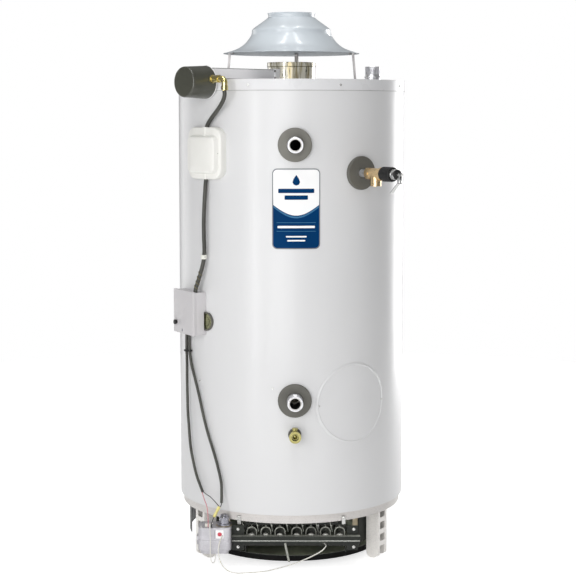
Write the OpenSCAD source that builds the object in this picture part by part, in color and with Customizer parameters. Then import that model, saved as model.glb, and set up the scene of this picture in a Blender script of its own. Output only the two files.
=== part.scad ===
// Commercial gas tank water heater on three legs, with a draft hood and a motorised flue damper.
// The origin is on the tank axis at floor level. +Z is up, and the front faces -Y.
// Azimuths are measured from the front and are positive towards +X.

/* [Jacket and tank] */
// Outside diameter of the jacket
jacket_d = 720; // [700:5:740]
// Height of the flat top cover above the floor
top_z = 1505; // [1480:5:1540]
// Height of the jacket's lower edge
jacket_z = 183; // [180:1:190]
// Outside diameter of the steel tank
tank_d = 610; // [600:5:620]
// Height of the downturned rim of the top cover
rim_h = 33; // [25:1:45]
// Thickness of the jacket and cover sheet
sheet = 1.2; // [0.8:0.1:1.5]

/* [Pipe connections] */
// Azimuth of the two front nipples and of the drain valve
front_az = 1.6; // [0:0.1:3]
// Height of the hot nipple
hot_z = 1309; // [1290:1:1330]
// Height of the cold nipple
cold_z = 538; // [520:1:550]
// Height of the drain valve
drain_z = 434; // [420:1:440]
// Outside diameter of the nipples
nipple_d = 48.3; // [48:0.1:48.6]
// Distance of a front nipple's end from the tank axis
nipple_end = 416; // [410:1:425]
// Distance of the top nipple from the tank axis
top_nipple_x = 260; // [250:1:262]
// Azimuth of the relief valve
relief_az = 35.5; // [35:0.5:40]
// Height of the relief valve
relief_z = 1223; // [1210:1:1230]

/* [Venting] */
// Outside diameter of the flue collar
collar_d = 152; // [150:1:154]
// Height of the collar above the top cover
collar_h = 59; // [55:1:62]
// Height of the draft hood's outlet above the top cover
hood_h = 215; // [212:1:220]
// Outside diameter of the draft hood's neck
neck_d = 147; // [146:0.5:148]
// Height of the damper shaft above the top cover
shaft_h = 15; // [14:0.5:16]
// Diameter of the damper shaft
shaft_d = 8; // [7:0.5:8]
// Azimuth of the damper motor
motor_az = -45; // [-50:1:-40]
// Outside diameter of the motor cover
motor_d = 92; // [90:1:94]
// Distance of the motor cover's face from the tank axis
motor_end = 456; // [452:1:460]

/* [Controls] */
// Azimuth of the wiring junction cover
junction_az = -45; // [-47:1:-43]
// Azimuth of the control box
control_az = -60; // [-62:1:-58]
// Width of the control box
control_w = 136; // [130:1:140]
// Height of the control box
control_h = 135; // [130:1:140]
// Distance of the control box's face from the tank axis
control_end = 397; // [395:1:400]

/* [Burner end] */
// Height of the legs
leg_h = 183; // [180:1:190]
// Width of a leg across its web
leg_w = 60; // [56:1:64]
// Length of one burner
burner_l = 420; // [380:5:430]
// Radius of the drip pan
pan_r = 287; // [280:1:288]

/* [Hidden] */
$fn = 96;

eps = 1;                    // overshoot of a cutting shape
fine = 360;                 // segments of a circle as large as the jacket
gap = 0.3;                  // room between curved faces that lie on each other
jacket_r = jacket_d / 2;
tank_r = tank_d / 2;
nipple_r = nipple_d / 2;
collar_r = collar_d / 2;
neck_r = neck_d / 2;
motor_r = motor_d / 2;
shaft_r = shaft_d / 2;
run = 0.06;                 // running clearance of a shaft in its bore
escutcheon_r = 51;
escutcheon_face = jacket_r + 9;
port_hole_r = 32;           // hole in the jacket behind an escutcheon
drain_hole_r = 17;
well_hole_r = 26;
handhole_r = 90;
cleanout_r = 124;
cleanout_az = 32;
cleanout_z = 521;
well_az = -46;
well_z = 765;

tank_bottom_z = 214;
tank_top_z = 1420;
tank_wall = 4;
flue_r = 38;
flue_ring_r = 160;
flue_n = 8;
nipple_bore_r = 18.9;
liner_bore_r = 16.5;

plate_rho = 367;            // back of the motor plate, from the tank axis
plate_t = 2;
motor_z = top_z - 9;
motor_back_r = motor_r + 4; // the cover widens towards the motor plate
shaft_z = top_z + shaft_h;
gear_module = 1;
gear_teeth = 36;
pinion_teeth = 12;
gear_rho = 373;
gear_t = 6;
elbow_rho = 387;
elbow_z = top_z;
hood_leg_az = [90, 175, 270];

relief_pivot = 545;         // lever's pin, from the tank axis
relief_pin_r = 1.5;
control_shift = 17;         // the box's centre, sideways from its azimuth
control_z = 721;
button_x = -29;
button_z = 32;
button_r = 7.5;
button_hole_r = 5;

valve_x = [-285, -185];
valve_y = [-345, -265];
valve_z = [58, 140];
knob_at = [-207, -310];
bar_z = 84;
bar_s = 20;
bar_y = -310;
bar_end = 212;
plate_y = -290;             // front face of the burner tray
flange_out = 23;            // height of the junction cover's flange above the jacket
burner_x = [-123, -79, -35, 17, 61, 106, 150];
rail_x = [-143, 167];
mouth_y = -270;
mouth_r = 15.6;
mouth_low = 94;
mouth_high = 108;
ring_r = 351;
ring_z = 156;
clip_az = 27;
leg_rho = 334;              // outer face of a leg's web, from the tank axis
leg_t = 3;
flange_d = 42;
foot_up = 9;                // the web ends this far above the floor
slot_w = 34;
slot_h = 23;
slot_pitch = 38;
skirt_r = 288;
skirt_z = 55;
skirt_open = 47;            // half the opening at the front, in degrees

// Routes of the harnesses and leads, as points on their centre lines
upper_route = [[-199, -349, 1470.4], [-199, -348.7, 1455], [-205, -338, 1438],
    [-216, -322, 1420], [-230, -304, 1402], [-244, -288, 1384], [-253, -275, 1370],
    [-257, -268, 1361], [-258, -267, 1354]];
middle_route = [[-260, -266, 1210], [-260, -266, 1203], [-262, -267, 1180], [-265, -269, 1130],
    [-267, -270, 1080], [-267, -269, 1030], [-266, -269, 990], [-267, -268, 965],
    [-271, -266, 942], [-278, -262, 916], [-286, -256, 890], [-293, -250, 869],
    [-295, -249, 859], [-295, -249, 850]];
left_route = [[-327, -180, 731], [-328, -179, 699], [-328, -178, 664],
    [-327, -179, 620], [-327, -180, 570], [-326, -181, 513], [-325, -184, 470],
    [-322, -188, 430], [-316, -199, 362], [-305, -216, 310], [-295, -230, 275],
    [-284, -246, 250], [-275, -262, 232]];
right_route = [[-319, -185, 731], [-319, -185, 699], [-318, -186, 664],
    [-311, -199, 620], [-298, -221, 575], [-286, -236, 529], [-271, -253, 465],
    [-256, -268, 412], [-240, -283, 365], [-226, -296, 318], [-216, -306, 275],
    [-214, -314, 240], [-214, -326, 214]];
pink_route = [[-277, -262, 232], [-269, -288, 216], [-261, -312, 204],
    [-257, -326, 190], [-255, -330, 165], [-255, -330, 140.2]];
black_route = [[-273, -262, 232], [-262, -290, 232], [-249, -314, 230],
    [-236, -331, 222], [-226, -340, 213], [-221, -343, 208]];
tail_route = [[-214, -326, 214], [-214, -333, 211], [-216, -339, 208], [-219, -343, 206]];
coil_route = [[-236, -346, 176], [-240, -345, 165], [-243, -340, 155], [-244, -337, 147],
    [-244, -336.5, 140.6]];
ground_route = [[-252, -334, 140.6], [-252, -335, 147], [-251.5, -341, 152],
    [-250, -349, 151], [-248, -355, 139],
    [-247, -356, 110], [-247, -356, 80], [-247, -356, 55], [-244, -354, 38],
    [-238, -345, 32], [-234, -330, 38], [-233, -320, 58]];
igniter_route = [[-211, -345, 117], [-212, -352, 116], [-217, -358, 105], [-221, -360, 88],
    [-222, -361, 65], [-217, -362, 42], [-205, -362, 22], [-188, -360, 9], [-165, -356, 3],
    [-140, -350, 2], [-110, -344, 2], [-82, -338, 3], [-52, -333, 8], [-20, -330, 16],
    [12, -328, 26], [44, -326, 38], [72, -324, 51], [92, -322, 62], [103, -316, 71],
    [107, -304, 76], [103, -290, 77], [95, -277, 77], [88, -265, 79], [84.5, -256, 82],
    [84, -251, 86.5], [84, -250, 91.4]];
upper_r = 6.5;
conduit_r = 4.7;
wire_r = 1.3;
igniter_r = 1.8;

// ---- Shared shapes ----

function unit(v) = v / norm(v);
function tangent(p, i) = unit(p[min(i + 1, len(p) - 1)] - p[max(i - 1, 0)]);
function upright(s, t) = unit(s - (s * t) * t);
function first_side(t) = unit(cross(t, abs(t[2]) < 0.9 ? [0, 0, 1] : [0.6, 0.8, 0]));

// Sideways vectors carried along a path, so that a tube on it doesn't twist
function sides(p) = [
    for (i = 0, s = first_side(tangent(p, 0)); i < len(p); i = i + 1,
        s = upright(s, tangent(p, min(i, len(p) - 1)))) s
];

// A Catmull-Rom curve through the points p, with n steps between two of them
function curve_at(a, b, c, d, t) = 0.5 * (2 * b + (c - a) * t
    + (2 * a - 5 * b + 4 * c - d) * t * t + (3 * b - a - 3 * c + d) * t * t * t);
function smooth(p, n) = let (last = len(p) - 1) concat(
    [for (i = [0 : last - 1], k = [0 : n - 1])
        curve_at(p[max(i - 1, 0)], p[i], p[i + 1], p[min(i + 2, last)], k / n)],
    [p[last]]);

// A round tube or wire swept along the path p
module swept(p, r, n = 8) {
    s = sides(p);
    rings = len(p);
    points = [for (i = [0 : rings - 1]) let (t = tangent(p, i), w = cross(t, s[i]))
        for (j = [0 : n - 1]) p[i] + r * (cos(360 * j / n) * s[i] + sin(360 * j / n) * w)];
    walls = [for (i = [0 : rings - 2], j = [0 : n - 1])
        [i * n + j, (i + 1) * n + j, (i + 1) * n + (j + 1) % n, i * n + (j + 1) % n]];
    caps = [[for (j = [0 : n - 1]) j],
        [for (j = [0 : n - 1]) (rings - 1) * n + n - 1 - j]];
    polyhedron(points, concat(walls, caps), convexity = 10);
}

// Children face -Y and are turned to an azimuth
module around(az) rotate([0, 0, az]) children();

// Local z points straight out from the tank axis, and local y points up
module outward(az, z) translate([0, 0, z]) rotate([0, 0, az]) rotate([90, 0, 0]) children();

module tube(r_out, r_in, h) difference() {
    cylinder(r = r_out, h = h);
    translate([0, 0, -eps]) cylinder(r = r_in, h = h + 2 * eps);
}

// A tube along local z between two distances
module sleeve(r_out, r_in, from, to) translate([0, 0, from]) tube(r_out, r_in, to - from);
module rod(r, from, to) translate([0, 0, from]) cylinder(r = r, h = to - from);

// A curved wall between two azimuths, standing on z = 0
module sector(r_out, r_in, h, from, to)
    rotate([0, 0, from - 90]) rotate_extrude(angle = to - from, $fn = 180)
        translate([r_in, 0]) square([r_out - r_in, h]);

module rounded_rect(w, h, r) {
    square([w - 2 * r, h], center = true);
    square([w, h - 2 * r], center = true);
    for (x = [-1, 1], y = [-1, 1])
        translate([x * (w / 2 - r), y * (h / 2 - r)]) circle(r = r, $fn = 32);
}

// A sheet of a given thickness that lies on the jacket inside an outline
module jacket_sheet(az, z, from, to) intersection() {
    outward(az, z) translate([0, 0, jacket_r - 60]) linear_extrude(120) children();
    translate([0, 0, jacket_z]) tube(to, from, top_z - jacket_z, $fn = fine);
}

module pan_head(r, h) {
    cylinder(r = r, h = h * 0.55, $fn = 24);
    translate([0, 0, h * 0.55]) cylinder(r1 = r, r2 = r * 0.55, h = h * 0.45, $fn = 24);
}

// ---- Casing ----

// Openings through the jacket and the foam for everything that reaches the tank
module port_cutters(r) {
    for (z = [hot_z, cold_z]) outward(front_az, z) rod(r, tank_r - 20, jacket_r + 20);
    outward(relief_az, relief_z) rod(r, tank_r - 20, jacket_r + 20);
    outward(front_az, drain_z) rod(drain_hole_r, tank_r - 20, jacket_r + 20);
    outward(well_az, well_z) rod(well_hole_r, tank_r - 20, jacket_r + 20);
    outward(cleanout_az, cleanout_z) rod(handhole_r, tank_r - 20, jacket_r + 20);
}

module jacket() color("gainsboro") difference() {
    translate([0, 0, jacket_z])
        tube(jacket_r, jacket_r - sheet, top_z - sheet - jacket_z - gap, $fn = fine);
    port_cutters(port_hole_r);
}

module top_cover() color("whitesmoke") difference() {
    translate([0, 0, top_z - rim_h]) union() {
        tube(jacket_r + gap + sheet, jacket_r + gap, rim_h, $fn = fine);
        translate([0, 0, rim_h - sheet])
            cylinder(r = jacket_r + gap + sheet, h = sheet, $fn = fine);
    }
    translate([0, 0, top_z - 2 * sheet]) rod(collar_r + gap, 0, 4 * sheet);
    translate([top_nipple_x, 0, top_z - 2 * sheet]) rod(nipple_r + gap, 0, 4 * sheet);
}

// Band below the jacket with an inward flange; its ends lap at the front right
module base_ring() color("antiquewhite") {
    translate([0, 0, ring_z]) tube(ring_r, ring_r - 2, jacket_z + 2 - ring_z, $fn = fine);
    translate([0, 0, jacket_z]) tube(jacket_r - sheet - gap, 280, 2, $fn = fine);
    translate([0, 0, ring_z]) sector(ring_r + 1.2, ring_r - 1, jacket_z - ring_z, 29, 31.6);
}

// A channel leg: slotted web outwards, two flanges inwards with round feet
module leg(az) color("linen") around(az) difference() {
    union() {
        translate([-leg_w / 2, -leg_rho, foot_up]) cube([leg_w, leg_t, leg_h - foot_up]);
        for (x = [-leg_w / 2, leg_w / 2 - leg_t]) translate([x, -leg_rho, 0]) {
            translate([0, 0, flange_d / 2 - 1]) cube([leg_t, flange_d, leg_h + 1 - flange_d / 2]);
            translate([0, flange_d / 2, flange_d / 2 - 1]) rotate([0, 90, 0])
                cylinder(r = flange_d / 2, h = leg_t);
        }
    }
    for (k = [0 : 3])
        translate([0, -leg_rho + leg_t + eps, 26 + slot_pitch * k]) rotate([90, 0, 0])
            linear_extrude(leg_t + 2 * eps) {
                rounded_rect(slot_w, slot_h, 5);
                if (k == 0) translate([-slot_w / 2, -slot_h]) square([slot_w, slot_h]);
            }
    translate([-leg_w / 2 + leg_t, -leg_rho - eps, -eps])
        cube([leg_w - 2 * leg_t, leg_t + 2 * eps, foot_up + eps]);
    translate([-leg_w, -leg_rho - eps, -5]) cube([2 * leg_w, flange_d + 2 * eps, 5]);
}
module leg_left() leg(-60);
module leg_right() leg(60);
module leg_rear() leg(180);

// Screw heads on the surfaces of the sheet parts, and the two clips that hold the burner tray
module cover_screw(az, z, rho, r) outward(az, z) translate([0, 0, rho]) pan_head(r, r);

module fasteners() color("silver") {
    for (k = [0 : 7]) cover_screw(24 + 45 * k, top_z - 18, jacket_r + gap + sheet, 3.5);
    for (side = [-18.5, 18.5])
        cover_screw(cleanout_az + side, cleanout_z - 2, jacket_r + gap + sheet, 3);
    for (az = [-9, -52]) cover_screw(az, 574, jacket_r, 3);
    for (side = [-9.5, 9.5]) cover_screw(junction_az + side, 1282, jacket_r + flange_out, 3);
    for (a = hood_leg_az) around(a) translate([0, -216, top_z + 1.5]) pan_head(3.5, 3.5);
    for (x = [-165, 193], z = [66, 122]) translate([x, plate_y, z]) rotate([90, 0, 0])
        pan_head(5, 5);
    for (side = [-1, 1]) {
        outward(side * clip_az, 150) translate([-6, -24, ring_r + 1.5]) cube([12, 46, 1.5]);
        outward(side * clip_az, 169) translate([-6, -3, ring_r]) cube([12, 6, 1.5]);
        cover_screw(side * clip_az, 166, ring_r + 3, 5);
    }
}

module cleanout_cover() color("gainsboro") {
    jacket_sheet(cleanout_az, cleanout_z, jacket_r + gap, jacket_r + gap + sheet)
        circle(r = cleanout_r);
    jacket_sheet(cleanout_az, cleanout_z, jacket_r + gap + sheet, jacket_r + gap + 2.6)
        difference() {
            circle(r = cleanout_r - 2);
            circle(r = cleanout_r - 6);
        }
}

module label_plate() color("navy")
    jacket_sheet(2.3, 1118, jacket_r + gap, jacket_r + gap + 1) rounded_rect(144, 241, 15);

// ---- Tank ----

module flue_places() {
    children();
    for (a = [0 : 360 / flue_n : 359]) around(a + 22.5) translate([0, -flue_ring_r, 0]) children();
}
anode_azimuths = [70, 180, -70];
anode_ring_r = 245;

// The pressure vessel with its two heads, and the flue tubes that pass through it
module tank_shell() color("slategray") {
    difference() {
        union() {
            rod(tank_r, jacket_z + 2, tank_top_z);
            outward(cleanout_az, cleanout_z) rod(80, tank_r - 30, tank_r + 2);
        }
        rod(tank_r - tank_wall, jacket_z + 1, tank_bottom_z);
        translate([0, 0, tank_bottom_z + tank_wall])
            cylinder(r = tank_r - tank_wall, h = tank_top_z - tank_bottom_z - 2 * tank_wall);
        flue_places() rod(flue_r + gap, tank_bottom_z - eps, tank_top_z + eps);
        for (z = [hot_z, cold_z])
            outward(front_az, z) rod(nipple_r + gap, tank_r - 40, tank_r + 40);
        outward(relief_az, relief_z) rod(12 + gap, tank_r - 40, tank_r + 40);
        outward(front_az, drain_z) rod(10 + gap, tank_r - 40, tank_r + 40);
        outward(well_az, well_z) rod(8 + gap, tank_r - 40, tank_r + 40);
        outward(cleanout_az, cleanout_z) rod(55, tank_r - 60, tank_r + 40);
        translate([top_nipple_x, 0, 0]) rod(nipple_r + gap, tank_top_z - 20, tank_top_z + eps);
        for (a = anode_azimuths) around(a) translate([0, -anode_ring_r, 0])
            rod(11 + gap, tank_top_z - 20, tank_top_z + eps);
    }
    flue_places() sleeve(flue_r, flue_r - 3, tank_bottom_z - 3, tank_top_z + 3);
}

// Hand-hole plate on the tank, behind the cleanout cover
module cleanout_plate() color("dimgray") outward(cleanout_az, cleanout_z) {
    rod(78, tank_r + 2, tank_r + 10);
    for (a = [0 : 60 : 300]) rotate([0, 0, a]) translate([66, 0, tank_r + 10])
        cylinder(r = 8, h = 6, $fn = 6);
}

module flue_baffles() color("gray") {
    step = 60;
    count = 18;
    zigzag = [for (k = [0 : count]) [k % 2 == 0 ? -12 : 12, 250 + step * k]];
    flue_places() rotate([90, 0, 0]) translate([0, 0, -15]) linear_extrude(30)
        polygon(concat(zigzag, [for (k = [count : -1 : 0]) zigzag[k] + [1.6, 0]]));
}

module insulation() color("khaki") difference() {
    translate([0, 0, jacket_z + 3])
        tube(jacket_r - sheet - gap, tank_r + gap, tank_top_z - jacket_z - 3, $fn = fine);
    port_cutters(port_hole_r + 4);
}

module anode_rods() color("lightgray") for (a = anode_azimuths) around(a)
    translate([0, -anode_ring_r, 0]) {
        rod(10.5, 420, tank_top_z);
        translate([0, 0, tank_top_z]) cylinder(r = 16, h = 22, $fn = 6);
    }

// Perforated tube that sends the incoming cold water along the tank bottom
module inlet_tube() color("ivory") outward(front_az, cold_z) difference() {
    sleeve(16, 13.5, 225, 325);
    for (k = [0 : 4]) translate([0, 0, 235 + 12 * k]) rotate([90, 0, 0])
        translate([0, 0, -20]) cylinder(r = 3, h = 40, $fn = 24);
}

// ---- Flue, damper and draft hood ----

module flue_collector() color("darkgray") rotate_extrude()
    polygon([[225, 1423], [225, 1440], [120, 1480], [collar_r + 1.6, 1484],
        [collar_r + 1.6, 1496], [collar_r + gap, 1496], [collar_r + gap, 1482],
        [119, 1478], [223, 1438.5], [223, 1423]]);

module flue_collar() color("silver") difference() {
    union() {
        rod(collar_r, 1486, top_z + collar_h);
        rod(collar_r + 1.4, top_z + collar_h - 13, top_z + collar_h - 1);
        rod(collar_r + 6, top_z, top_z + 1.2);
    }
    rod(collar_r - 1.5, 1485, top_z + collar_h + eps);
    around(motor_az) translate([0, 100, shaft_z]) rotate([90, 0, 0])
        cylinder(r = shaft_r + run, h = 200);
}

blade_r = 70;
module damper_blade() color("lightsteelblue") around(motor_az) translate([0, 0, shaft_z])
    difference() {
        union() {
            translate([0, 0, shaft_r]) cylinder(r = blade_r, h = 2);
            for (y = [-45, 33]) translate([0, y + 12, 0]) rotate([90, 0, 0])
                cylinder(r = shaft_r + 1.5, h = 12);
        }
        translate([0, 100, 0]) rotate([90, 0, 0]) cylinder(r = shaft_r + 0.02, h = 200);
    }

module damper_shaft() color("silver") outward(motor_az, shaft_z) rod(shaft_r, -79, 382);

// A spur gear whose teeth are a little narrow, so that a meshed pair keeps some backlash
module spur_gear(teeth, turn) {
    pitch_r = gear_module * teeth / 2;
    root_r = pitch_r - 1.25 * gear_module;
    tooth = 360 / teeth;
    flank = [[root_r, -0.26], [pitch_r, -0.2], [pitch_r + 0.8 * gear_module, -0.1],
        [pitch_r + 0.8 * gear_module, 0.1], [pitch_r, 0.2], [root_r, 0.26]];
    linear_extrude(gear_t) polygon([for (k = [0 : teeth - 1], p = flank)
        let (a = turn + (k + p[1]) * tooth) p[0] * [cos(a), sin(a)]]);
}

module damper_gear() color("gold") outward(motor_az, shaft_z) translate([0, 0, gear_rho])
    difference() {
        spur_gear(gear_teeth, 0);
        translate([0, 0, -eps]) cylinder(r = shaft_r + 0.02, h = gear_t + 2 * eps);
    }

// The pinion hangs below the gear, so its upper tooth space takes the gear's lowest tooth
module motor_pinion() color("gold") outward(motor_az, motor_z) {
    translate([0, 0, gear_rho]) spur_gear(pinion_teeth, 90 + 180 / pinion_teeth);
    rod(2, gear_rho + gear_t, 400);
}

module damper_motor() color("dimgray") outward(motor_az, motor_z) {
    difference() {
        rod(22, 386, 432);
        rod(2 + run, 385, 401);
    }
    for (x = [-12, 12]) translate([x, -14, 0]) rod(3, plate_rho + plate_t, 386);
}

// Channel that carries the shaft from the collar to the round motor plate
module damper_bracket() color("darkgray") {
    around(motor_az) translate([0, 0, top_z + 2]) difference() {
        union() {
            translate([-18, -plate_rho, 0]) cube([36, plate_rho - collar_r + 4, 33]);
            translate([-22, -collar_r - 16, 0]) cube([44, 20, 35]);
        }
        translate([-16.5, -plate_rho - eps, -eps])
            cube([33, plate_rho - collar_r + 4 + 2 * eps, 32.5]);
        translate([0, 0, -eps]) cylinder(r = collar_r + gap, h = 36);
    }
    difference() {
        outward(motor_az, motor_z) rod(motor_back_r + 1, plate_rho, plate_rho + plate_t);
        outward(motor_az, shaft_z) rod(shaft_r + run, plate_rho - eps, plate_rho + plate_t + eps);
    }
}

module motor_cover() color("darkolivegreen") difference() {
    outward(motor_az, motor_z) rotate_extrude() difference() {
        union() {
            polygon([[0, plate_rho + plate_t], [motor_back_r, plate_rho + plate_t],
                [motor_r, motor_end - 5], [0, motor_end - 5]]);
            translate([0, motor_end - 6]) square([motor_r - 5, 6]);
            translate([motor_r - 5, motor_end - 5]) circle(r = 5);
        }
        polygon([[-eps, plate_rho], [motor_back_r - 1.5, plate_rho],
            [motor_r - 1.6, motor_end - 6], [-eps, motor_end - 3]]);
        translate([-20, 0]) square([20, 500]);
    }
    around(motor_az) translate([0, -elbow_rho, elbow_z]) rotate([0, 90, 0]) rod(9 + gap, 0, 60);
}

// Outer profile of the draft hood below its neck, from the neck down to the rim
hood_profile = smooth([[neck_r, top_z + hood_h - 13], [82, top_z + hood_h - 20],
    [100, top_z + 182], [118, top_z + 169], [125, top_z + 162], [126, top_z + 155],
    [127, top_z + 149], [132, top_z + 139], [146, top_z + 121], [162, top_z + 108],
    [179, top_z + 99.5], [198, top_z + 93], [217, top_z + 88]], 4);

module draft_hood() color("lightsteelblue") rotate_extrude()
    polygon(concat([[neck_r, top_z + hood_h]], hood_profile,
        [[217, top_z + 86.8]],
        [for (k = [len(hood_profile) - 1 : -1 : 1]) hood_profile[k] - [1, 1]],
        [[neck_r - 1.2, hood_profile[0][1] - 1], [neck_r - 1.2, top_z + hood_h]]));

// Splayed channels with a foot at the bottom, and a sloping tab and its nut under the hood
module hood_legs() color("gainsboro") for (a = hood_leg_az) around(a) {
    intersection() {
        translate([0, -208, top_z]) rotate([-5, 0, 0]) difference() {
            translate([-6.25, 0, -5]) cube([12.5, 7, 110]);
            translate([-5.05, 1.2, -6]) cube([10.1, 7, 112]);
        }
        translate([-10, -220, top_z]) cube([20, 40, 90.6]);
    }
    translate([-7, -224, top_z]) cube([14, 17.5, 1.5]);
    translate([-5.6, -199.4, top_z + 88.6]) rotate([14.7, 0, 0]) cube([11.2, 17.6, 1.3]);
    translate([0, -186.5, top_z + 86]) cylinder(r = 5, h = 7, $fn = 6);
}

module conduit_elbow() color("gold") around(motor_az) translate([0, -elbow_rho, elbow_z]) {
    rotate([0, 90, 0]) rod(9, 43, 92);
    rotate([0, 90, 0]) translate([0, 0, 51]) cylinder(r = 13, h = 5, $fn = 6);
    rotate([0, 90, 0]) rod(11.5, 60, 84);
    translate([92, 0, -14]) rotate([90, 0, 0]) rotate_extrude(angle = 90)
        translate([14, 0]) circle(r = 9, $fn = 48);
    translate([106, 0, 0]) rod(9, -22, -14);
    translate([106, 0, 0]) rod(10.5, -34, -22);
}

// ---- Wiring and controls ----

module harness_upper() color("dimgray") swept(smooth(upper_route, 3), upper_r, 10);
module harness_middle() color("dimgray") swept(smooth(middle_route, 3), upper_r, 10);
module harness_lower() color("dimgray") for (route = [left_route, right_route])
    swept(smooth(route, 3), conduit_r, 8);

// A moulded cover on the jacket: a hollow flange with round corners and a deeper box on it
module junction_cover() color("white") difference() {
    union() {
        jacket_sheet(junction_az, 1282, jacket_r + gap, jacket_r + flange_out)
            rounded_rect(150, 158, 35);
        intersection() {
            outward(junction_az, 1278) translate([0, 0, 340]) linear_extrude(58)
                rounded_rect(112, 112, 18);
            translate([0, 0, 1200]) tube(430, jacket_r + gap, 180, $fn = fine);
        }
    }
    jacket_sheet(junction_az, 1282, jacket_r - 5, jacket_r + flange_out - 2.5)
        rounded_rect(145, 153, 32.5);
    outward(junction_az, 1278) translate([0, 0, 340]) linear_extrude(55) rounded_rect(106, 106, 15);
    translate([-257, -268, 1350]) cylinder(r = upper_r + 1, h = 20);
    translate([-260, -266, 1195]) cylinder(r = upper_r + 1, h = 20);
}

module harness_ties() color("white") {
    translate([-267.3, -268, 959]) tube(upper_r + 2.6, upper_r + 1.5, 13);
    translate([-323, -182, 661]) rotate(-35) linear_extrude(5) difference() {
        rounded_rect(26.5, 14.6, 5);
        rounded_rect(24, 12.2, 4);
    }
}

module control_shell(from, to, inset) difference() {
    around(control_az) translate([control_shift - control_w / 2 + inset, -to, control_z + inset])
        cube([control_w - 2 * inset, to - from, control_h - 2 * inset]);
    translate([0, 0, control_z - 10])
        cylinder(r = jacket_r + gap, h = control_h + 20, $fn = fine);
    outward(well_az, well_z) rod(30, 330, jacket_r + 8);
}

module control_box() color("lightgray") difference() {
    control_shell(300, control_end - 3, 2);
    around(control_az)
        translate([control_shift - control_w / 2 + 3.5, -control_end - 20, control_z + 3.5])
        cube([control_w - 7, control_end - jacket_r + 18, control_h - 7]);
    translate([-295, -249, control_z + control_h - 10]) cylinder(r = upper_r + 0.7, h = 20);
    around(control_az) translate([-5, -370, control_z - 10])
        linear_extrude(20) rounded_rect(32, 18, 6);
}

module control_cover() color("silver") difference() {
    control_shell(control_end - 9, control_end, 0);
    control_shell(300, control_end - 1.5, 1.6);
    outward(control_az, control_z) translate([button_x, button_z, 0])
        rod(button_hole_r, control_end - 3, control_end + 5);
}

module control_board() color("green") around(control_az) {
    translate([control_shift - 35, -377, control_z + 35]) cube([80, 2, 70]);
    translate([control_shift - 20, -388, control_z + 60]) cube([30, 11, 30]);
    for (x = [-28, 38], z = [40, 98])
        translate([control_shift + x, -375, control_z + z]) rotate([-90, 0, 0])
            cylinder(r = 3, h = 13, $fn = 24);
}

module reset_button() color("black") outward(control_az, control_z)
    translate([button_x, button_z, 0]) {
        rod(button_hole_r - run, control_end - 12, control_end + 4);
        rod(button_r, control_end + 4, control_end + 9);
    }

// Immersion well with its sealing ring and capillary head
module thermostat_well() color("darkkhaki") outward(well_az, well_z) {
    rod(8, 210, 352);
    rod(13, 352, 364);
    sleeve(24, 14, 352, 363);
}

module splice_sleeve() color("khaki") swept([[-220, -343, 207], [-236, -346, 176]], 5.5, 10);

module lead_wires() color("white") {
    for (route = [pink_route, black_route, tail_route, coil_route, ground_route])
        swept(smooth(route, 2), wire_r, 8);
}
module igniter_lead() color("white") swept(smooth(igniter_route, 2), igniter_r, 8);

// ---- Water fittings ----

module pipe_nipple(from, to, thread) {
    difference() {
        rod(nipple_r, from, to - thread - 2);
        rod(nipple_bore_r, from - eps, to + eps);
    }
    sleeve(nipple_r - 0.8, nipple_bore_r, to - thread - 2, to - thread);
    difference() {
        union() {
            rod(nipple_r, to - thread, to - 1.5);
            translate([0, 0, to - 1.5]) cylinder(r1 = nipple_r, r2 = nipple_r - 1.5, h = 1.5);
        }
        rod(nipple_bore_r, to - thread - eps, to + eps);
    }
}

module pipe_nipples() color("silver") {
    for (z = [hot_z, cold_z]) outward(front_az, z) pipe_nipple(tank_r - 5, nipple_end, 26);
    outward(relief_az, relief_z) sleeve(12, 8, tank_r - 5, 396);
}

module top_nipple() color("silver") translate([top_nipple_x, 0, 0]) {
    pipe_nipple(tank_top_z - 5, top_z + 46, 24);
    sleeve(nipple_r + 2.2, nipple_bore_r, top_z + 10, top_z + 15);
    sleeve(nipple_r + 5, nipple_bore_r, top_z, top_z + 4);
}

module nipple_liners() color("black") {
    for (z = [hot_z, cold_z])
        outward(front_az, z) sleeve(nipple_bore_r - 0.05, liner_bore_r, 330, nipple_end);
    translate([top_nipple_x, 0, 0])
        sleeve(nipple_bore_r - 0.05, liner_bore_r, tank_top_z, top_z + 46);
}

module escutcheon(az, z, hole) difference() {
    outward(az, z) sleeve(escutcheon_r, hole, jacket_r - 20, escutcheon_face);
    translate([0, 0, z - 80]) cylinder(r = jacket_r + gap, h = 160, $fn = fine);
}

module escutcheons() color("dimgray") {
    for (z = [hot_z, cold_z]) escutcheon(front_az, z, nipple_r + gap);
    escutcheon(relief_az, relief_z, 12 + gap);
    difference() {
        outward(front_az, drain_z) sleeve(20, 10 + gap, jacket_r - 10, jacket_r + 4);
        translate([0, 0, drain_z - 60]) cylinder(r = jacket_r + gap, h = 120, $fn = fine);
    }
    difference() {
        outward(well_az, well_z) sleeve(29, 24 + gap, jacket_r - 10, jacket_r + 7);
        translate([0, 0, well_z - 60]) cylinder(r = jacket_r + gap, h = 120, $fn = fine);
    }
}

// Brass valve body with a side outlet that points down
module relief_body() color("goldenrod") outward(relief_az, relief_z) difference() {
    union() {
        rod(16.5, 396, 466);
        translate([0, 0, 398]) cylinder(r = 19, h = 16, $fn = 6);
        rod(20, 460, 470);
        translate([0, 0, 434]) rotate([90, 0, 0]) rod(16, 0, 37);
    }
    rod(8, 395, 402);
    rod(6, 401, 407);
    rod(11, 406, 466);
    rod(16, 465, 471);
    translate([0, 0, 434]) rotate([90, 0, 0]) rod(8, 0, 16);
    translate([0, 0, 434]) rotate([90, 0, 0]) rod(10.5, 15, 38);
}

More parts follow.
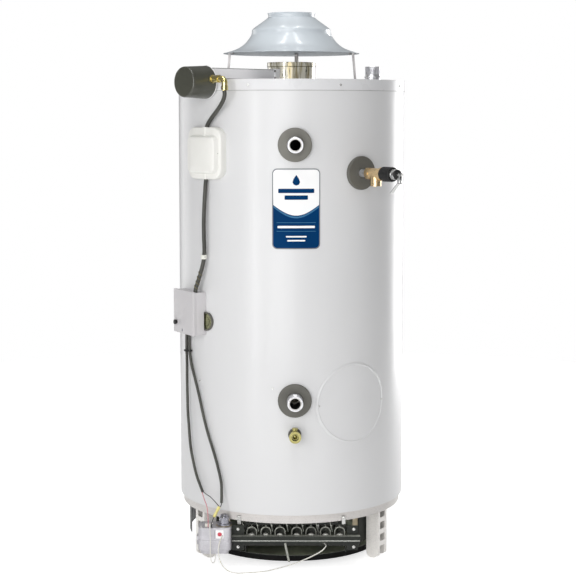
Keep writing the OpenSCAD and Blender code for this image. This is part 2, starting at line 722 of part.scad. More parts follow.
module relief_cap() color("black") outward(relief_az, relief_z) difference() {
    union() {
        rod(21, 470.2, 514);
        for (k = [0 : 5]) rod(22, 473 + 6.5 * k, 476.5 + 6.5 * k);
        rod(15, 514, 536);
        rod(15.8, 466.5, 470.2);
    }
    rod(11, 466, 500);
    rod(3 + run, 499, 537);
}

// Spring-loaded stem with its seat disc and temperature probe; the pin at its end holds the lever
module relief_stem() color("silver") outward(relief_az, relief_z) {
    rod(4, 225, 406.2);
    rod(7.5, 406.2, 409);
    rod(3, 409, 541);
    translate([-3.4, -4, 541]) cube([6.8, 8, 8]);
    translate([0, 0, relief_pivot]) rotate([0, 90, 0]) rod(relief_pin_r, -8, -3.4);
    translate([0, 0, relief_pivot]) rotate([0, 90, 0]) rod(relief_pin_r, 3.4, 8);
}

spring_turns = 7;
module relief_spring() color("silver") outward(relief_az, relief_z)
    swept([for (k = [0 : 12 * spring_turns])
        [6.5 * cos(30 * k), 6.5 * sin(30 * k), 410.2 + 88.4 * k / (12 * spring_turns)]], 0.9, 6);

// Forked lever: side plates on the pin, and a bent strip that hangs below the cap
module relief_lever() color("silver") outward(relief_az, relief_z) {
    for (x = [-5.4, 3.7]) translate([x, 0, relief_pivot]) rotate([0, 90, 0]) difference() {
        linear_extrude(1.7) {
            circle(r = 6.5);
            polygon([[-4, 0], [5, -14], [4, -24], [-1, -24], [-6.4, -1]]);
        }
        translate([0, 0, -eps]) cylinder(r = relief_pin_r + run, h = 4);
    }
    translate([-6.5, 0, relief_pivot]) rotate([0, 90, 0]) linear_extrude(13)
        polygon([[-4, -24], [4, -24], [37, -54], [35.6, -55.4], [2.6, -26], [-4, -26]]);
}

module drain_body() color("goldenrod") outward(front_az, drain_z) difference() {
    union() {
        rod(10, 296, 366);
        translate([0, 0, 365]) cylinder(r = 17, h = 9, $fn = 6);
        rod(13.5, 374, 396);
        translate([0, 0, 394]) cylinder(r1 = 13.5, r2 = 18, h = 4);
        rod(18, 398, 407);
        translate([0, 0, 384]) rotate([-90, 0, 0]) rod(7, 0, 20);
    }
    rod(7, 295, 408);
    translate([0, 0, 384]) sphere(r = 9.6 + run);
    translate([0, 0, 384]) rotate([-90, 0, 0]) rod(3.5 + run, 0, 21);
    rod(10.5, 399, 408);
}

// Quarter-turn ball and stem; the slot in its head shows the bore's direction
module drain_stem() color("gold") outward(front_az, drain_z) translate([0, 0, 384])
    difference() {
        union() {
            rotate([0, 90, 0]) sphere(r = 9.6);
            rotate([-90, 0, 0]) rod(3.5, 8, 21);
            rotate([-90, 0, 0]) rod(9, 21, 25);
        }
        rotate([0, 90, 0]) rod(6, -12, 12);
        translate([-12, 23, -1]) cube([24, 4, 2]);
    }

// ---- Gas valve and burners ----

module block(x, y, z) translate([x[0], y[0], z[0]])
    cube([x[1] - x[0], y[1] - y[0], z[1] - z[0]]);

// Cast body in two halves with round corners
module valve_half(z, inset, r) translate([(valve_x[0] + valve_x[1]) / 2,
        (valve_y[0] + valve_y[1]) / 2, z[0]]) linear_extrude(z[1] - z[0])
    rounded_rect(valve_x[1] - valve_x[0] - 2 * inset, valve_y[1] - valve_y[0] - 2 * inset, r);

module gas_valve() color("lightgray") difference() {
    union() {
        valve_half([70, 102], 0, 14);
        valve_half([58, 70], 7, 12);
        valve_half([102, 104], 1.5, 13);
        valve_half([104, valve_z[1]], 0, 14);
        translate([valve_x[0] - 6, -300, bar_z + 10]) rotate([0, 90, 0])
            cylinder(r = 17, h = 10, $fn = 8);
        translate([knob_at[0], knob_at[1], 0]) rod(16, valve_z[1], valve_z[1] + 2);
    }
    translate([valve_x[0] - 7, -300, bar_z + 10]) rotate([0, 90, 0]) cylinder(r = 9.6, h = 25);
    translate([knob_at[0], knob_at[1], 0]) rod(4 + run, valve_z[1] - 15, valve_z[1] + 3);
    translate([-236, -346, 108]) cube([2.5, 4, 26]);
}

module gas_knob() color("silver") translate([knob_at[0], knob_at[1], 0]) {
    rod(4, valve_z[1] - 14, valve_z[1] + 2.3);
    difference() {
        union() {
            rod(21.5, valve_z[1] + 2.3, valve_z[1] + 6);
            rod(15, valve_z[1] + 6, valve_z[1] + 26);
            translate([0, 0, valve_z[1] + 26]) cylinder(r1 = 15, r2 = 9, h = 9);
        }
        for (k = [0 : 11]) rotate(30 * k) translate([16.2, 0, valve_z[1] + 6])
            cylinder(r = 2, h = 40, $fn = 24);
    }
}

module gas_manifold() color("dimgray") difference() {
    block([valve_x[1], bar_end], [bar_y, bar_y + bar_s], [bar_z, bar_z + bar_s]);
    block([valve_x[1] - eps, bar_end - 2], [bar_y + 2, bar_y + bar_s - 2],
        [bar_z + 2, bar_z + bar_s - 2]);
    for (x = burner_x) translate([x, bar_y + bar_s + eps, mouth_low]) rotate([90, 0, 0])
        cylinder(r = 5, h = 4);
}

module orifices() color("gray") for (x = burner_x)
    translate([x, bar_y + bar_s, mouth_low]) rotate([-90, 0, 0]) difference() {
        union() {
            rod(4.9, -2, 0);
            cylinder(r = 12.5, h = 13);
            translate([0, 0, 13]) cylinder(r1 = 9, r2 = 5, h = 14);
        }
        rod(1.2, -3, 28);
    }

// Tall round-ended outline of a burner's mouth
module mouth(r) {
    for (z = [mouth_low, mouth_high]) translate([0, z]) circle(r = r, $fn = 48);
    translate([-r, mouth_low]) square([2 * r, mouth_high - mouth_low]);
}

// Cast burners: a venturi mouth, and a slotted head behind it
module burners() color("dimgray") for (x = burner_x) translate([x, 0, 0]) {
    translate([0, mouth_y + 55, 0]) rotate([90, 0, 0]) linear_extrude(55) difference() {
        mouth(mouth_r);
        mouth(mouth_r - 2.4);
    }
    translate([0, 0, 80]) linear_extrude(40) difference() {
        translate([-14, mouth_y + 55]) square([28, burner_l - 60]);
        translate([-11, mouth_y + 58]) square([22, burner_l - 66]);
    }
    translate([0, 0, 120]) linear_extrude(4) difference() {
        translate([-14, mouth_y + 55]) square([28, burner_l - 60]);
        for (k = [0 : 21]) translate([-9, mouth_y + 64 + 15.5 * k]) square([18, 5]);
    }
    translate([0, 0, 76]) linear_extrude(4)
        translate([-14, mouth_y + 55]) square([28, burner_l - 60]);
    translate([0, mouth_y + 4, mouth_high + mouth_r - 0.5]) cylinder(r = 2, h = 5);
    translate([0, mouth_y + 4, mouth_high + mouth_r + 4.5]) pan_head(3.5, 3);
}

// Frame that carries the burners and slides in from the front
module burner_tray() color("black") {
    difference() {
        block([valve_x[1] + 1, bar_end], [plate_y, plate_y + 1.5], [70, 81.2]);
        block([97, 109], [plate_y - 1, plate_y + 3], [73, 84]);
    }
    for (x = [[valve_x[1] + 1, -146], [172, bar_end - 6]])
        block(x, [plate_y, plate_y + 1.5], [56, 134]);
    for (x = rail_x) {
        block([x, x + 3], [plate_y + 1.5, 190], [50, 76]);
        block([x, x + 3], [mouth_y + 9, mouth_y + 11], [76, 134]);
    }
    for (y = [-200, 60]) block([rail_x[0] + 3, rail_x[1]], [y, y + 4], [52, 76]);
    block([rail_x[0], rail_x[1] + 3], [mouth_y + 9, mouth_y + 11], [128, 134]);
    for (x = [-145, -101, -57, -9, 39, 84, 128]) translate([x, mouth_y + 11, 0])
        rotate([90, 0, 0]) linear_extrude(2)
            polygon([[-2.5, 108], [2.5, 108], [-7.5, 150], [-12.5, 150]]);
}

module burner_skirt() color("black") {
    translate([0, 0, skirt_z]) sector(skirt_r + 1.5, skirt_r, leg_h - skirt_z,
        skirt_open, 360 - skirt_open);
    translate([0, 0, skirt_z]) sector(332, 330, ring_z - skirt_z, -130, -76);
    for (az = [-124, -80]) translate([0, 0, ring_z])
        sector(ring_r - 2, 330, 3, az - 2, az + 2);
}

// Shallow round pan under the burners, hung from straps
module drip_pan() color("black") {
    difference() {
        rod(pan_r, 20, 37.5);
        rod(pan_r - 1.5, 21.5, 38);
    }
    for (az = [100, 140, 220, 260]) translate([0, 0, 27])
        sector(skirt_r, pan_r - 0.5, 48, az - 1.5, az + 1.5);
    block([-10, -4], [-292, -270], [18.8, 20]);
    translate([-10, -292, 18.8]) rotate([0, -12, 0]) cube([6, 2, 60]);
}

module pilot_burner() color("silver") translate([84, -250, 0]) {
    difference() {
        rod(5.5, 92, 132);
        rod(4, 100, 133);
    }
    translate([-5.5, -5.5, 132]) cube([11, 11, 1.5]);
    translate([-4, -9, 128]) cube([8, 4.5, 3]);
}

jacket();
top_cover();
base_ring();
leg_left();
leg_right();
leg_rear();
fasteners();
cleanout_cover();
cleanout_plate();
label_plate();
tank_shell();
flue_baffles();
insulation();
anode_rods();
inlet_tube();
flue_collector();
flue_collar();
damper_blade();
damper_shaft();
damper_gear();
motor_pinion();
damper_motor();
damper_bracket();
motor_cover();
draft_hood();
hood_legs();
conduit_elbow();
harness_upper();
junction_cover();
harness_middle();
harness_ties();
control_box();
control_cover();
control_board();
reset_button();
thermostat_well();
harness_lower();
lead_wires();
splice_sleeve();
pipe_nipples();
top_nipple();
nipple_liners();
escutcheons();
relief_body();
relief_cap();
relief_lever();
relief_stem();
relief_spring();
drain_body();
drain_stem();
gas_valve();
gas_knob();
gas_manifold();
orifices();
burners();
burner_tray();
burner_skirt();
drip_pan();
pilot_burner();
igniter_lead();
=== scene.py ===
"""Looks of a gas tank water heater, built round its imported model.

Lengths are in millimetres until a mesh is made. The frame's origin is on the tank axis at floor
level, +Z is up and the front faces -Y. Azimuths are from the front, positive towards +X.
"""
from math import ceil, cos, dist, pi, radians, sin, sqrt, tau

import bmesh
import bpy
from mathutils import Matrix, Vector


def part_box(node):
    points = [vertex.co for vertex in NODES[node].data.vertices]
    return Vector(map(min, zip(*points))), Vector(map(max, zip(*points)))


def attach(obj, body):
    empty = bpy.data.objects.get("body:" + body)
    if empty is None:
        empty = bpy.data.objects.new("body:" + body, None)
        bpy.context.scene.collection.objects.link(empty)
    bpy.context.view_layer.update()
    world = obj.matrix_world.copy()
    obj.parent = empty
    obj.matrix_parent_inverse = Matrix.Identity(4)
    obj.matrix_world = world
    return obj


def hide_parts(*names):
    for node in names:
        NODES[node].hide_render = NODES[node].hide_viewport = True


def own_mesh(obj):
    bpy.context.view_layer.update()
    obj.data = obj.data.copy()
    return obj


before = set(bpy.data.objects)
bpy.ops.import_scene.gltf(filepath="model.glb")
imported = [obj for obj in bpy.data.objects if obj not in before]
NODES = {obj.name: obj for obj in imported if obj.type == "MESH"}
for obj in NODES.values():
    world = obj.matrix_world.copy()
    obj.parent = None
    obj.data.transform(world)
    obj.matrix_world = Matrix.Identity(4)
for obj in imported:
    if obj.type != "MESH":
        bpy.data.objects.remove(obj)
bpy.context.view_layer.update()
MM = 0.001
CABINET = "cabinet"
BEVELLED_DEG = 50  # an edge of a CAD node that is sharper than this gets rounded

# ---- Driving sizes, as in the model ----

JACKET_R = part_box("jacket")[1].x / MM
JACKET_Z = 183
TOP_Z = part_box("top_cover")[1].z / MM
FRONT_AZ = 1.6
COVER_RIM = 33
RELIEF_AZ, RELIEF_Z = 35.5, 1223
HOT_Z, COLD_Z, DRAIN_Z = 1309, 538, 434
NIPPLE_R, NIPPLE_BORE, LINER_BORE = 24.15, 18.9, 16.5
FRONT_PIPE_END = 416            # from the tank axis
TOP_PIPE_X, TOP_PIPE_END = 260, TOP_Z + 46
THREAD_PITCH, THREAD_DEPTH, ROWS_PER_TURN = 2.2, 1.1, 6
ESCUTCHEON_R = 51
MOTOR_AZ, JUNCTION_AZ, CONTROL_AZ = -45, -45, -60
CONTROL_Z, CONTROL_H, CONTROL_SHIFT, CONTROL_END = 721, 135, 17, 397
JUNCTION_Z = 1282
WELL_AZ, WELL_Z = -46, 765
CLEANOUT_AZ, CLEANOUT_Z = 32, 521
HOOD_LEG_AZ = (90, 175, 270)
RING_R, CLIP_AZ = 351, 27
BURNER_X = [-123, -79, -35, 17, 61, 106, 150]
MOUTH_Y, MOUTH_R, MOUTH_LOW, MOUTH_HIGH = -270, 15.6, 94, 108
PLATE_Y = -290

UPPER_ROUTE = [
    (-199, -349, 1470.4), (-199, -348.7, 1455), (-205, -338, 1438), (-216, -322, 1420),
    (-230, -304, 1402), (-244, -288, 1384), (-253, -275, 1370), (-257, -268, 1361),
    (-258, -267, 1354)]
MIDDLE_ROUTE = [
    (-260, -266, 1210), (-260, -266, 1203), (-262, -267, 1180), (-265, -269, 1130),
    (-267, -270, 1080), (-267, -269, 1030), (-266, -269, 990), (-267, -268, 965), (-271, -266, 942),
    (-278, -262, 916), (-286, -256, 890), (-293, -250, 869), (-295, -249, 859), (-295, -249, 850)]
LEFT_ROUTE = [
    (-327, -180, 731), (-328, -179, 699), (-328, -178, 664), (-327, -179, 620), (-327, -180, 570),
    (-326, -181, 513), (-325, -184, 470), (-322, -188, 430), (-316, -199, 362), (-305, -216, 310),
    (-295, -230, 275), (-284, -246, 250), (-275, -262, 232)]
RIGHT_ROUTE = [
    (-319, -185, 731), (-319, -185, 699), (-318, -186, 664), (-311, -199, 620), (-298, -221, 575),
    (-286, -236, 529), (-271, -253, 465), (-256, -268, 412), (-240, -283, 365), (-226, -296, 318),
    (-216, -306, 275), (-214, -314, 240), (-214, -326, 214)]
WIRE_ROUTES = {
    "pink": [
        (-277, -262, 232), (-269, -288, 216), (-261, -312, 204), (-257, -326, 190),
        (-255, -330, 165), (-255, -330, 140.2)],
    "black": [
        (-273, -262, 232), (-262, -290, 232), (-249, -314, 230), (-236, -331, 222),
        (-226, -340, 213), (-221, -343, 208)],
    "tail": [
        (-214, -326, 214), (-214, -333, 211), (-216, -339, 208), (-219, -343, 206)],
    "coil": [
        (-236, -346, 176), (-240, -345, 165), (-243, -340, 155), (-244, -337, 147),
        (-244, -336.5, 140.6)],
    "ground": [
        (-252, -334, 140.6), (-252, -335, 147), (-251.5, -341, 152), (-250, -349, 151),
        (-248, -355, 139), (-247, -356, 110), (-247, -356, 80), (-247, -356, 55), (-244, -354, 38),
        (-238, -345, 32), (-234, -330, 38), (-233, -320, 58)],
}
IGNITER_ROUTE = [
    (-211, -345, 117), (-212, -352, 116), (-217, -358, 105), (-221, -360, 88), (-222, -361, 65),
    (-217, -362, 42), (-205, -362, 22), (-188, -360, 9), (-165, -356, 3), (-140, -350, 2),
    (-110, -344, 2), (-82, -338, 3), (-52, -333, 8), (-20, -330, 16), (12, -328, 26),
    (44, -326, 38), (72, -324, 51), (92, -322, 62), (103, -316, 71), (107, -304, 76),
    (103, -290, 77), (95, -277, 77), (88, -265, 79), (84.5, -256, 82), (84, -251, 86.5),
    (84, -250, 91.4)]
IGNITER_R = 1.8

# ---- Mesh helpers ----


def outward(az, z=0, rho=0):
    """Local z points straight out from the tank axis, local y up."""
    return upright(z=z) @ turned(az, "Z") @ turned(90, "X") @ upright(z=rho)


def turned(degrees, axis):
    return Matrix.Rotation(radians(degrees), 4, axis)


def upright(x=0, y=0, z=0):
    return Matrix.Translation((x, y, z))


def along(direction, origin):
    """Local z points along direction from origin."""
    turn = direction.to_track_quat("Z", "Y").to_matrix().to_4x4()
    return Matrix.Translation(origin) @ turn


def linked(name, data):
    """A new object in the scene."""
    thing = bpy.data.objects.new(name, data)
    bpy.context.scene.collection.objects.link(thing)
    return thing


def shown(name, mesh, material, sharp, hides):
    """Shades and finishes a mesh, and rides it on the cabinet in place of CAD nodes."""
    mesh.polygons.foreach_set("use_smooth", [True] * len(mesh.polygons))
    mesh.set_sharp_from_angle(angle=radians(sharp))
    mesh.materials.append(MATERIALS[material])
    thing = linked(name, mesh)
    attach(thing, CABINET)
    if hides:
        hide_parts(*hides)
    return thing


def piece(name, shapes, material, hides=(), sharp=35):
    """One object made of several (points, faces) shapes, in millimetres."""
    points, faces = [], []
    for some_points, some_faces in shapes:
        start = len(points)
        points += [metres(p) for p in some_points]
        faces += [tuple(start + i for i in f) for f in some_faces]
    mesh = bpy.data.meshes.new(name)
    mesh.from_pydata(points, [], faces)
    mesh.validate()
    return shown(name, mesh, material, sharp, hides)


def softened(name, node, width, material, steps=2):
    """A copy of a CAD node with rounded edges, in its place."""
    bm = bmesh.new()
    bm.from_mesh(NODES[node].data)
    bmesh.ops.remove_doubles(bm, verts=bm.verts, dist=1e-6)
    bmesh.ops.dissolve_limit(bm, angle_limit=radians(1), verts=bm.verts, edges=bm.edges)
    edges = [e for e in bm.edges if len(e.link_faces) == 2
             and e.calc_face_angle(0) > radians(BEVELLED_DEG)]
    bmesh.ops.bevel(bm, geom=edges, offset=width * MM, segments=steps, profile=0.5,
                    affect="EDGES", clamp_overlap=True)
    for face in bm.faces:
        face.material_index = 0
    mesh = bpy.data.meshes.new(name)
    bm.to_mesh(mesh)
    bm.free()
    return shown(name, mesh, material, 38, [node])


def metres(point):
    return tuple(MM * c for c in point)


def placed(shape, matrix):
    return [tuple(matrix @ Vector(p)) for p in shape[0]], shape[1]


def loft(rings, closed=False, caps=True):
    """Skin over rings that all have the same number of points."""
    n = len(rings[0])
    points = [p for ring in rings for p in ring]
    pairs = list(zip(range(len(rings)), range(1, len(rings))))
    if closed:
        pairs.append((len(rings) - 1, 0))
    faces = [(a * n + j, a * n + (j + 1) % n, b * n + (j + 1) % n, b * n + j)
             for a, b in pairs for j in range(n)]
    if caps and not closed:
        faces.append(tuple(reversed(range(n))))
        faces.append(tuple(range((len(rings) - 1) * n, len(rings) * n)))
    return points, faces


def circle(r, z=0, n=48):
    return [(r * cos(tau * j / n), r * sin(tau * j / n), z) for j in range(n)]


def lathe(profile, n=64, closed=False):
    """Revolves (radius, height) points round local z; an open profile is capped at both ends."""
    return loft([circle(max(r, 0.02), z, n) for r, z in profile], closed, caps=not closed)


def polygon_ring(sides, r, z, turn=0):
    return [(r * cos(tau * j / sides + turn), r * sin(tau * j / sides + turn), z)
            for j in range(sides)]


def hexagon(r, low, high, edge=0.6, turn=0):
    """A hexagonal head with chamfered edges."""
    return loft([polygon_ring(6, r - edge, low, turn), polygon_ring(6, r, low + edge, turn),
                 polygon_ring(6, r, high - edge, turn), polygon_ring(6, r - edge, high, turn)])


def rounded_outline(w, h, r, steps=6):
    """Points of a rectangle with round corners, anticlockwise from the right."""
    r = min(r, w / 2 - 0.001, h / 2 - 0.001)
    centres = [(w / 2 - r, h / 2 - r, 0), (-w / 2 + r, h / 2 - r, 90),
               (-w / 2 + r, -h / 2 + r, 180), (w / 2 - r, -h / 2 + r, 270)]
    return [(x + r * cos(radians(a + 90 * k / steps)), y + r * sin(radians(a + 90 * k / steps)))
            for x, y, a in centres for k in range(steps + 1)]


def split_long(outline, step):
    """Adds points on long sides, so that an outline can follow a curved surface."""
    points = []
    for a, b in zip(outline, outline[1:] + outline[:1]):
        n = max(1, ceil(dist(a, b) / step))
        points += [(a[0] + (b[0] - a[0]) * k / n, a[1] + (b[1] - a[1]) * k / n) for k in range(n)]
    return points


def on_jacket(az, z, x, y, height):
    """The point at tangential x and upward y of a spot on the jacket, at a height above it."""
    depth = sqrt((JACKET_R + height) ** 2 - x * x)
    return tuple(outward(az, z) @ Vector((x, y, depth)))


def plate_on_jacket(az, z, outline, low, high, edge=0.4):
    """A thin sheet on the jacket with the outline's shape, cut into upright strips."""
    xs = [p[0] for p in outline]
    left, right = min(xs), max(xs)
    n = max(2, ceil((right - left) / 6))

    def span(x):
        """Lowest and highest point of the outline at x."""
        hits = []
        for a, b in zip(outline, outline[1:] + outline[:1]):
            if min(a[0], b[0]) <= x <= max(a[0], b[0]) and a[0] != b[0]:
                hits.append(a[1] + (b[1] - a[1]) * (x - a[0]) / (b[0] - a[0]))
        return min(hits), max(hits)

    stops = [left + (right - left) * (0.5 - 0.5 * cos(pi * k / n)) for k in range(n + 1)]
    stops[0] += 0.02
    stops[-1] -= 0.02
    rings = []
    for x in stops:
        lo, hi = span(x)
        inset = min(edge, (hi - lo) / 4)
        rings.append([on_jacket(az, z, x, lo, low), on_jacket(az, z, x, lo, high - inset),
                      on_jacket(az, z, x, lo + inset, high), on_jacket(az, z, x, hi - inset, high),
                      on_jacket(az, z, x, hi, high - inset), on_jacket(az, z, x, hi, low)])
    return loft(rings)


def catmull(points, n):
    """A smooth curve through points, with n steps between two of them."""
    p = [Vector(q) for q in points]
    curve = []
    for i in range(len(p) - 1):
        a, b, c, d = p[max(i - 1, 0)], p[i], p[i + 1], p[min(i + 2, len(p) - 1)]
        for k in range(n):
            t = k / n
            curve.append(0.5 * (2 * b + (c - a) * t + (2 * a - 5 * b + 4 * c - d) * t * t
                                + (3 * b - a - 3 * c + d) * t * t * t))
    return curve + [p[-1]]


def path_length(path):
    return sum((b - a).length for a, b in zip(path, path[1:]))


def evenly(path, step):
    """Points on a path at an even distance."""
    total = path_length(path)
    n = max(2, round(total / step))
    result, travelled, i = [path[0]], 0.0, 0
    for k in range(1, n):
        target = total * k / n
        while travelled + (path[i + 1] - path[i]).length < target:
            travelled += (path[i + 1] - path[i]).length
            i += 1
        gap = (path[i + 1] - path[i]).length
        result.append(path[i].lerp(path[i + 1], (target - travelled) / gap))
    return result + [path[-1]]


def swept(path, radius, n=12):
    """A tube along a path; radius is a number, or a function of the point's index."""
    size = radius if callable(radius) else lambda i: radius
    side, rings = None, []
    for i, p in enumerate(path):
        t = (path[min(i + 1, len(path) - 1)] - path[max(i - 1, 0)]).normalized()
        side = t.orthogonal() if side is None else side
        side = (side - side.dot(t) * t).normalized()
        other = t.cross(side)
        rings.append([tuple(p + size(i) * (cos(tau * j / n) * side + sin(tau * j / n) * other))
                      for j in range(n)])
    return loft(rings)


def torus(r, thick, z=0, n=96, m=10):
    """A bead: a closed ring with a round section."""
    return lathe([(r + thick * cos(tau * k / m), z + thick * sin(tau * k / m))
                  for k in range(m)], n, closed=True)


def level(outline, z):
    return [(x, y, z) for x, y in outline]


def box_shape(x, y, z, bevel=0.4):
    """A box between two corners with chamfered edges."""
    w, h = x[1] - x[0], y[1] - y[0]
    cx, cy = (x[0] + x[1]) / 2, (y[0] + y[1]) / 2
    bevel = min(bevel, w / 3, h / 3, (z[1] - z[0]) / 3)

    def ring(inset, height):
        return [(cx + px, cy + py, height) for px, py in
                rounded_outline(w - 2 * inset, h - 2 * inset, bevel, 2)]

    return loft([ring(bevel, z[0]), ring(0, z[0] + bevel), ring(0, z[1] - bevel),
                 ring(bevel, z[1])])


def threaded(r, low, high, n=48):
    """The rings of a cut pipe thread round local z, which fades at its first and last turn."""
    rings = []
    rows = round((high - low) / THREAD_PITCH * ROWS_PER_TURN)
    for k in range(rows + 1):
        z = low + (high - low) * k / rows
        fade = min(1, k / ROWS_PER_TURN, (rows - k) / ROWS_PER_TURN)
        ring = []
        for j in range(n):
            phase = (z / THREAD_PITCH + j / n) % 1
            drop = THREAD_DEPTH * fade * (1 - abs(2 * phase - 1))
            ring.append(((r - drop) * cos(tau * j / n), (r - drop) * sin(tau * j / n), z))
        rings.append(ring)
    return rings


def screw(spot, r, h):
    """A hexagonal head on a washer, with a driver slot."""
    washer = lathe([(r, 0), (r, 0.25 * h), (0.86 * r, 0.4 * h)], 24)
    slot = box_shape((-0.5 * r, 0.5 * r), (-0.12 * r, 0.12 * r), (h * 0.9, h * 1.06), 0.02)
    return [placed(s, spot) for s in (washer, hexagon(0.72 * r, 0.2 * h, h, 0.12 * r, 0.3), slot)]


# ---- Materials ----


class Graph:
    """The nodes of one material, built round its Principled shader."""

    def __init__(self, name, **sockets):
        self.material = bpy.data.materials.new(name)
        self.material.use_nodes = True
        self.tree = self.material.node_tree
        self.shader = self.tree.nodes["Principled BSDF"]
        for key, value in sockets.items():
            self.set(self.shader, key.replace("_", " "), value)
        self.place = self.add("TexCoord", output="Object")

    def set(self, node, key, value):
        socket = node.inputs[key]
        if isinstance(value, bpy.types.NodeSocket):
            self.tree.links.new(value, socket)
        elif socket.type == "RGBA":
            socket.default_value = (*value[:3], 1)
        else:
            socket.default_value = value

    def add(self, kind, inputs=None, output=0, **settings):
        node = self.tree.nodes.new("ShaderNode" + kind)
        for key, value in settings.items():
            setattr(node, key, value)
        for key, value in (inputs or {}).items():
            self.set(node, key, value)
        return node.outputs[output]

    def stretched(self, scale):
        return self.add("Mapping", {"Vector": self.place, "Scale": scale})

    def noise(self, scale, detail=4, rough=0.55, place=None, distortion=0):
        return self.add("TexNoise", {
            "Vector": place or self.place, "Scale": scale, "Detail": detail, "Roughness": rough,
            "Distortion": distortion})

    def remap(self, value, low, high, to_low=0.0, to_high=1.0):
        return self.add("MapRange", {"Value": value, "From Min": low, "From Max": high,
                                     "To Min": to_low, "To Max": to_high})

    def mix(self, factor, a, b):
        return self.add("Mix", {0: factor, 6: a, 7: b}, 2, data_type="RGBA")

    def math(self, operation, a, b=0.0):
        return self.add("Math", {0: a, 1: b}, operation=operation)

    def split(self, place=None):
        return tuple(self.add("SeparateXYZ", {0: place or self.place}).node.outputs)

    def bump(self, height, distance, strength=1.0, under=None):
        inputs = {"Height": height, "Distance": distance, "Strength": strength}
        if under is not None:
            inputs["Normal"] = under
        return self.add("Bump", inputs)

    def finish(self, color=None, rough=None, normal=None):
        for key, value in (("Base Color", color), ("Roughness", rough), ("Normal", normal)):
            if value is not None:
                self.set(self.shader, key, value)
        return self.material


def tone(color, factor):
    return tuple(min(1, c * factor) for c in color)


def surface(name, color, rough=(0.3, 0.4), vary=0.06, scale=5, bump=0.0002, grain=300,
            smudge=None, dust_and_top_highlight=None, **sockets):
    """A surface with uneven colour and gloss, a fine texture, smudges, and a pale mix on upward
    faces that is partly dust and partly a painted highlight.
    """
    g = Graph(name, **sockets)
    broad = g.noise(scale, 3, 0.5)
    tint = g.mix(g.remap(broad, 0.3, 0.7), tone(color, 1 - vary), tone(color, 1 + vary))
    if smudge:
        patches = g.noise(scale * 2.3, 5, 0.65, distortion=0.6)
        tint = g.mix(g.remap(patches, 0.52, 0.75), tint, smudge)
    # Upward faces turn pale: partly dust that settles there, partly a painted highlight on top
    # faces and edges.
    if dust_and_top_highlight:
        upward = g.split(g.add("TexCoord", output="Normal"))[2]
        dust_and_highlight_mask = g.math("MULTIPLY", g.remap(upward, 0.6, 0.95), g.remap(broad, 0.2, 0.5, 0.7, 1))
        tint = g.mix(dust_and_highlight_mask, tint, dust_and_top_highlight)
    gloss = g.remap(g.noise(scale * 4, 4, 0.6), 0.3, 0.7, *rough)
    return g.finish(tint, gloss, g.bump(g.noise(grain, 3, 0.6), bump, 0.5))


def printed(name, color, rough, vary, scale=6):
    """Ink on a label: nearly no gloss and a very fine texture."""
    return surface(name, color, rough, vary, scale, 0.00003, 600, Specular_IOR_Level=0.03)


def enamel(name, color, rough=(0.30, 0.42), coat=0.08, shine=0.3):
    """Sprayed enamel on sheet metal: a soft orange peel under a clear gloss."""
    g = Graph(name, Coat_Weight=coat, Coat_Roughness=0.15, Specular_IOR_Level=shine)
    broad = g.noise(2.2, 2, 0.5)
    tint = g.mix(g.remap(broad, 0.35, 0.65), tone(color, 0.985), tone(color, 1.01))
    tint = g.mix(g.remap(g.noise(90, 4, 0.7), 0.72, 0.8), tint, tone(color, 0.86))
    peel = g.bump(g.noise(420, 2, 0.5), 0.00006, 0.25)
    return g.finish(tint, g.remap(g.noise(12, 4, 0.6), 0.3, 0.7, *rough),
                    g.bump(broad, 0.0009, 0.15, peel))


def speckled(name, color):
    """Warm enamel with fine dark and light specks."""
    g = Graph(name, Coat_Weight=0.2, Coat_Roughness=0.3)
    broad = g.noise(7, 3, 0.5)
    tint = g.mix(g.remap(broad, 0.3, 0.7), tone(color, 0.94), tone(color, 1.03))
    dots = g.noise(750, 1, 0.3)
    tint = g.mix(g.remap(dots, 0.62, 0.68), tint, tone(color, 0.62))
    pale = g.noise(520, 1, 0.3, g.stretched((1, 1.2, 0.9)))
    tint = g.mix(g.remap(pale, 0.64, 0.70), tint, tone(color, 1.15))
    gloss = g.remap(g.noise(30, 4, 0.6), 0.3, 0.7, 0.38, 0.55)
    return g.finish(tint, gloss, g.bump(dots, 0.0003, 0.3))


def galvanised(name, color):
    """Zinc-coated sheet with spangles of slightly different brightness."""
    g = Graph(name, Metallic=0.85)
    cells = g.add("TexVoronoi", {"Vector": g.place, "Scale": 130}, "Color")
    spangle = g.add("RGBToBW", {"Color": cells})
    tint = g.mix(g.remap(spangle, 0.2, 0.8), tone(color, 0.86), tone(color, 1.08))
    white = g.noise(18, 5, 0.7)
    tint = g.mix(g.remap(white, 0.58, 0.8), tint, (0.78, 0.78, 0.76))
    gloss = g.remap(spangle, 0.2, 0.8, 0.3, 0.5)
    return g.finish(tint, gloss, g.bump(spangle, 0.0002, 0.2))


def painted_reflection_streaks(name, color, dark, warm):
    """Bright sheet steel whose upright bright, warm and dark streaks round the tank axis are
    painted reflections.
    """
    g = Graph(name, Metallic=0.35)
    x, y, z = g.split()
    angle = g.math("ARCTAN2", x, y)
    ring = g.add("CombineXYZ", {"X": angle, "Y": g.math("MULTIPLY", z, 1.5)})
    reflection_bands = g.noise(3.4, 3, 0.6, ring)
    fine = g.noise(15, 3, 0.7, ring)
    tint = g.mix(g.remap(reflection_bands, 0.44, 0.54), warm, color)
    tint = g.mix(g.remap(fine, 0.52, 0.64), tint, dark)
    gloss = g.remap(fine, 0.3, 0.7, 0.12, 0.3)
    return g.finish(tint, gloss, g.bump(fine, 0.0004, 0.3))


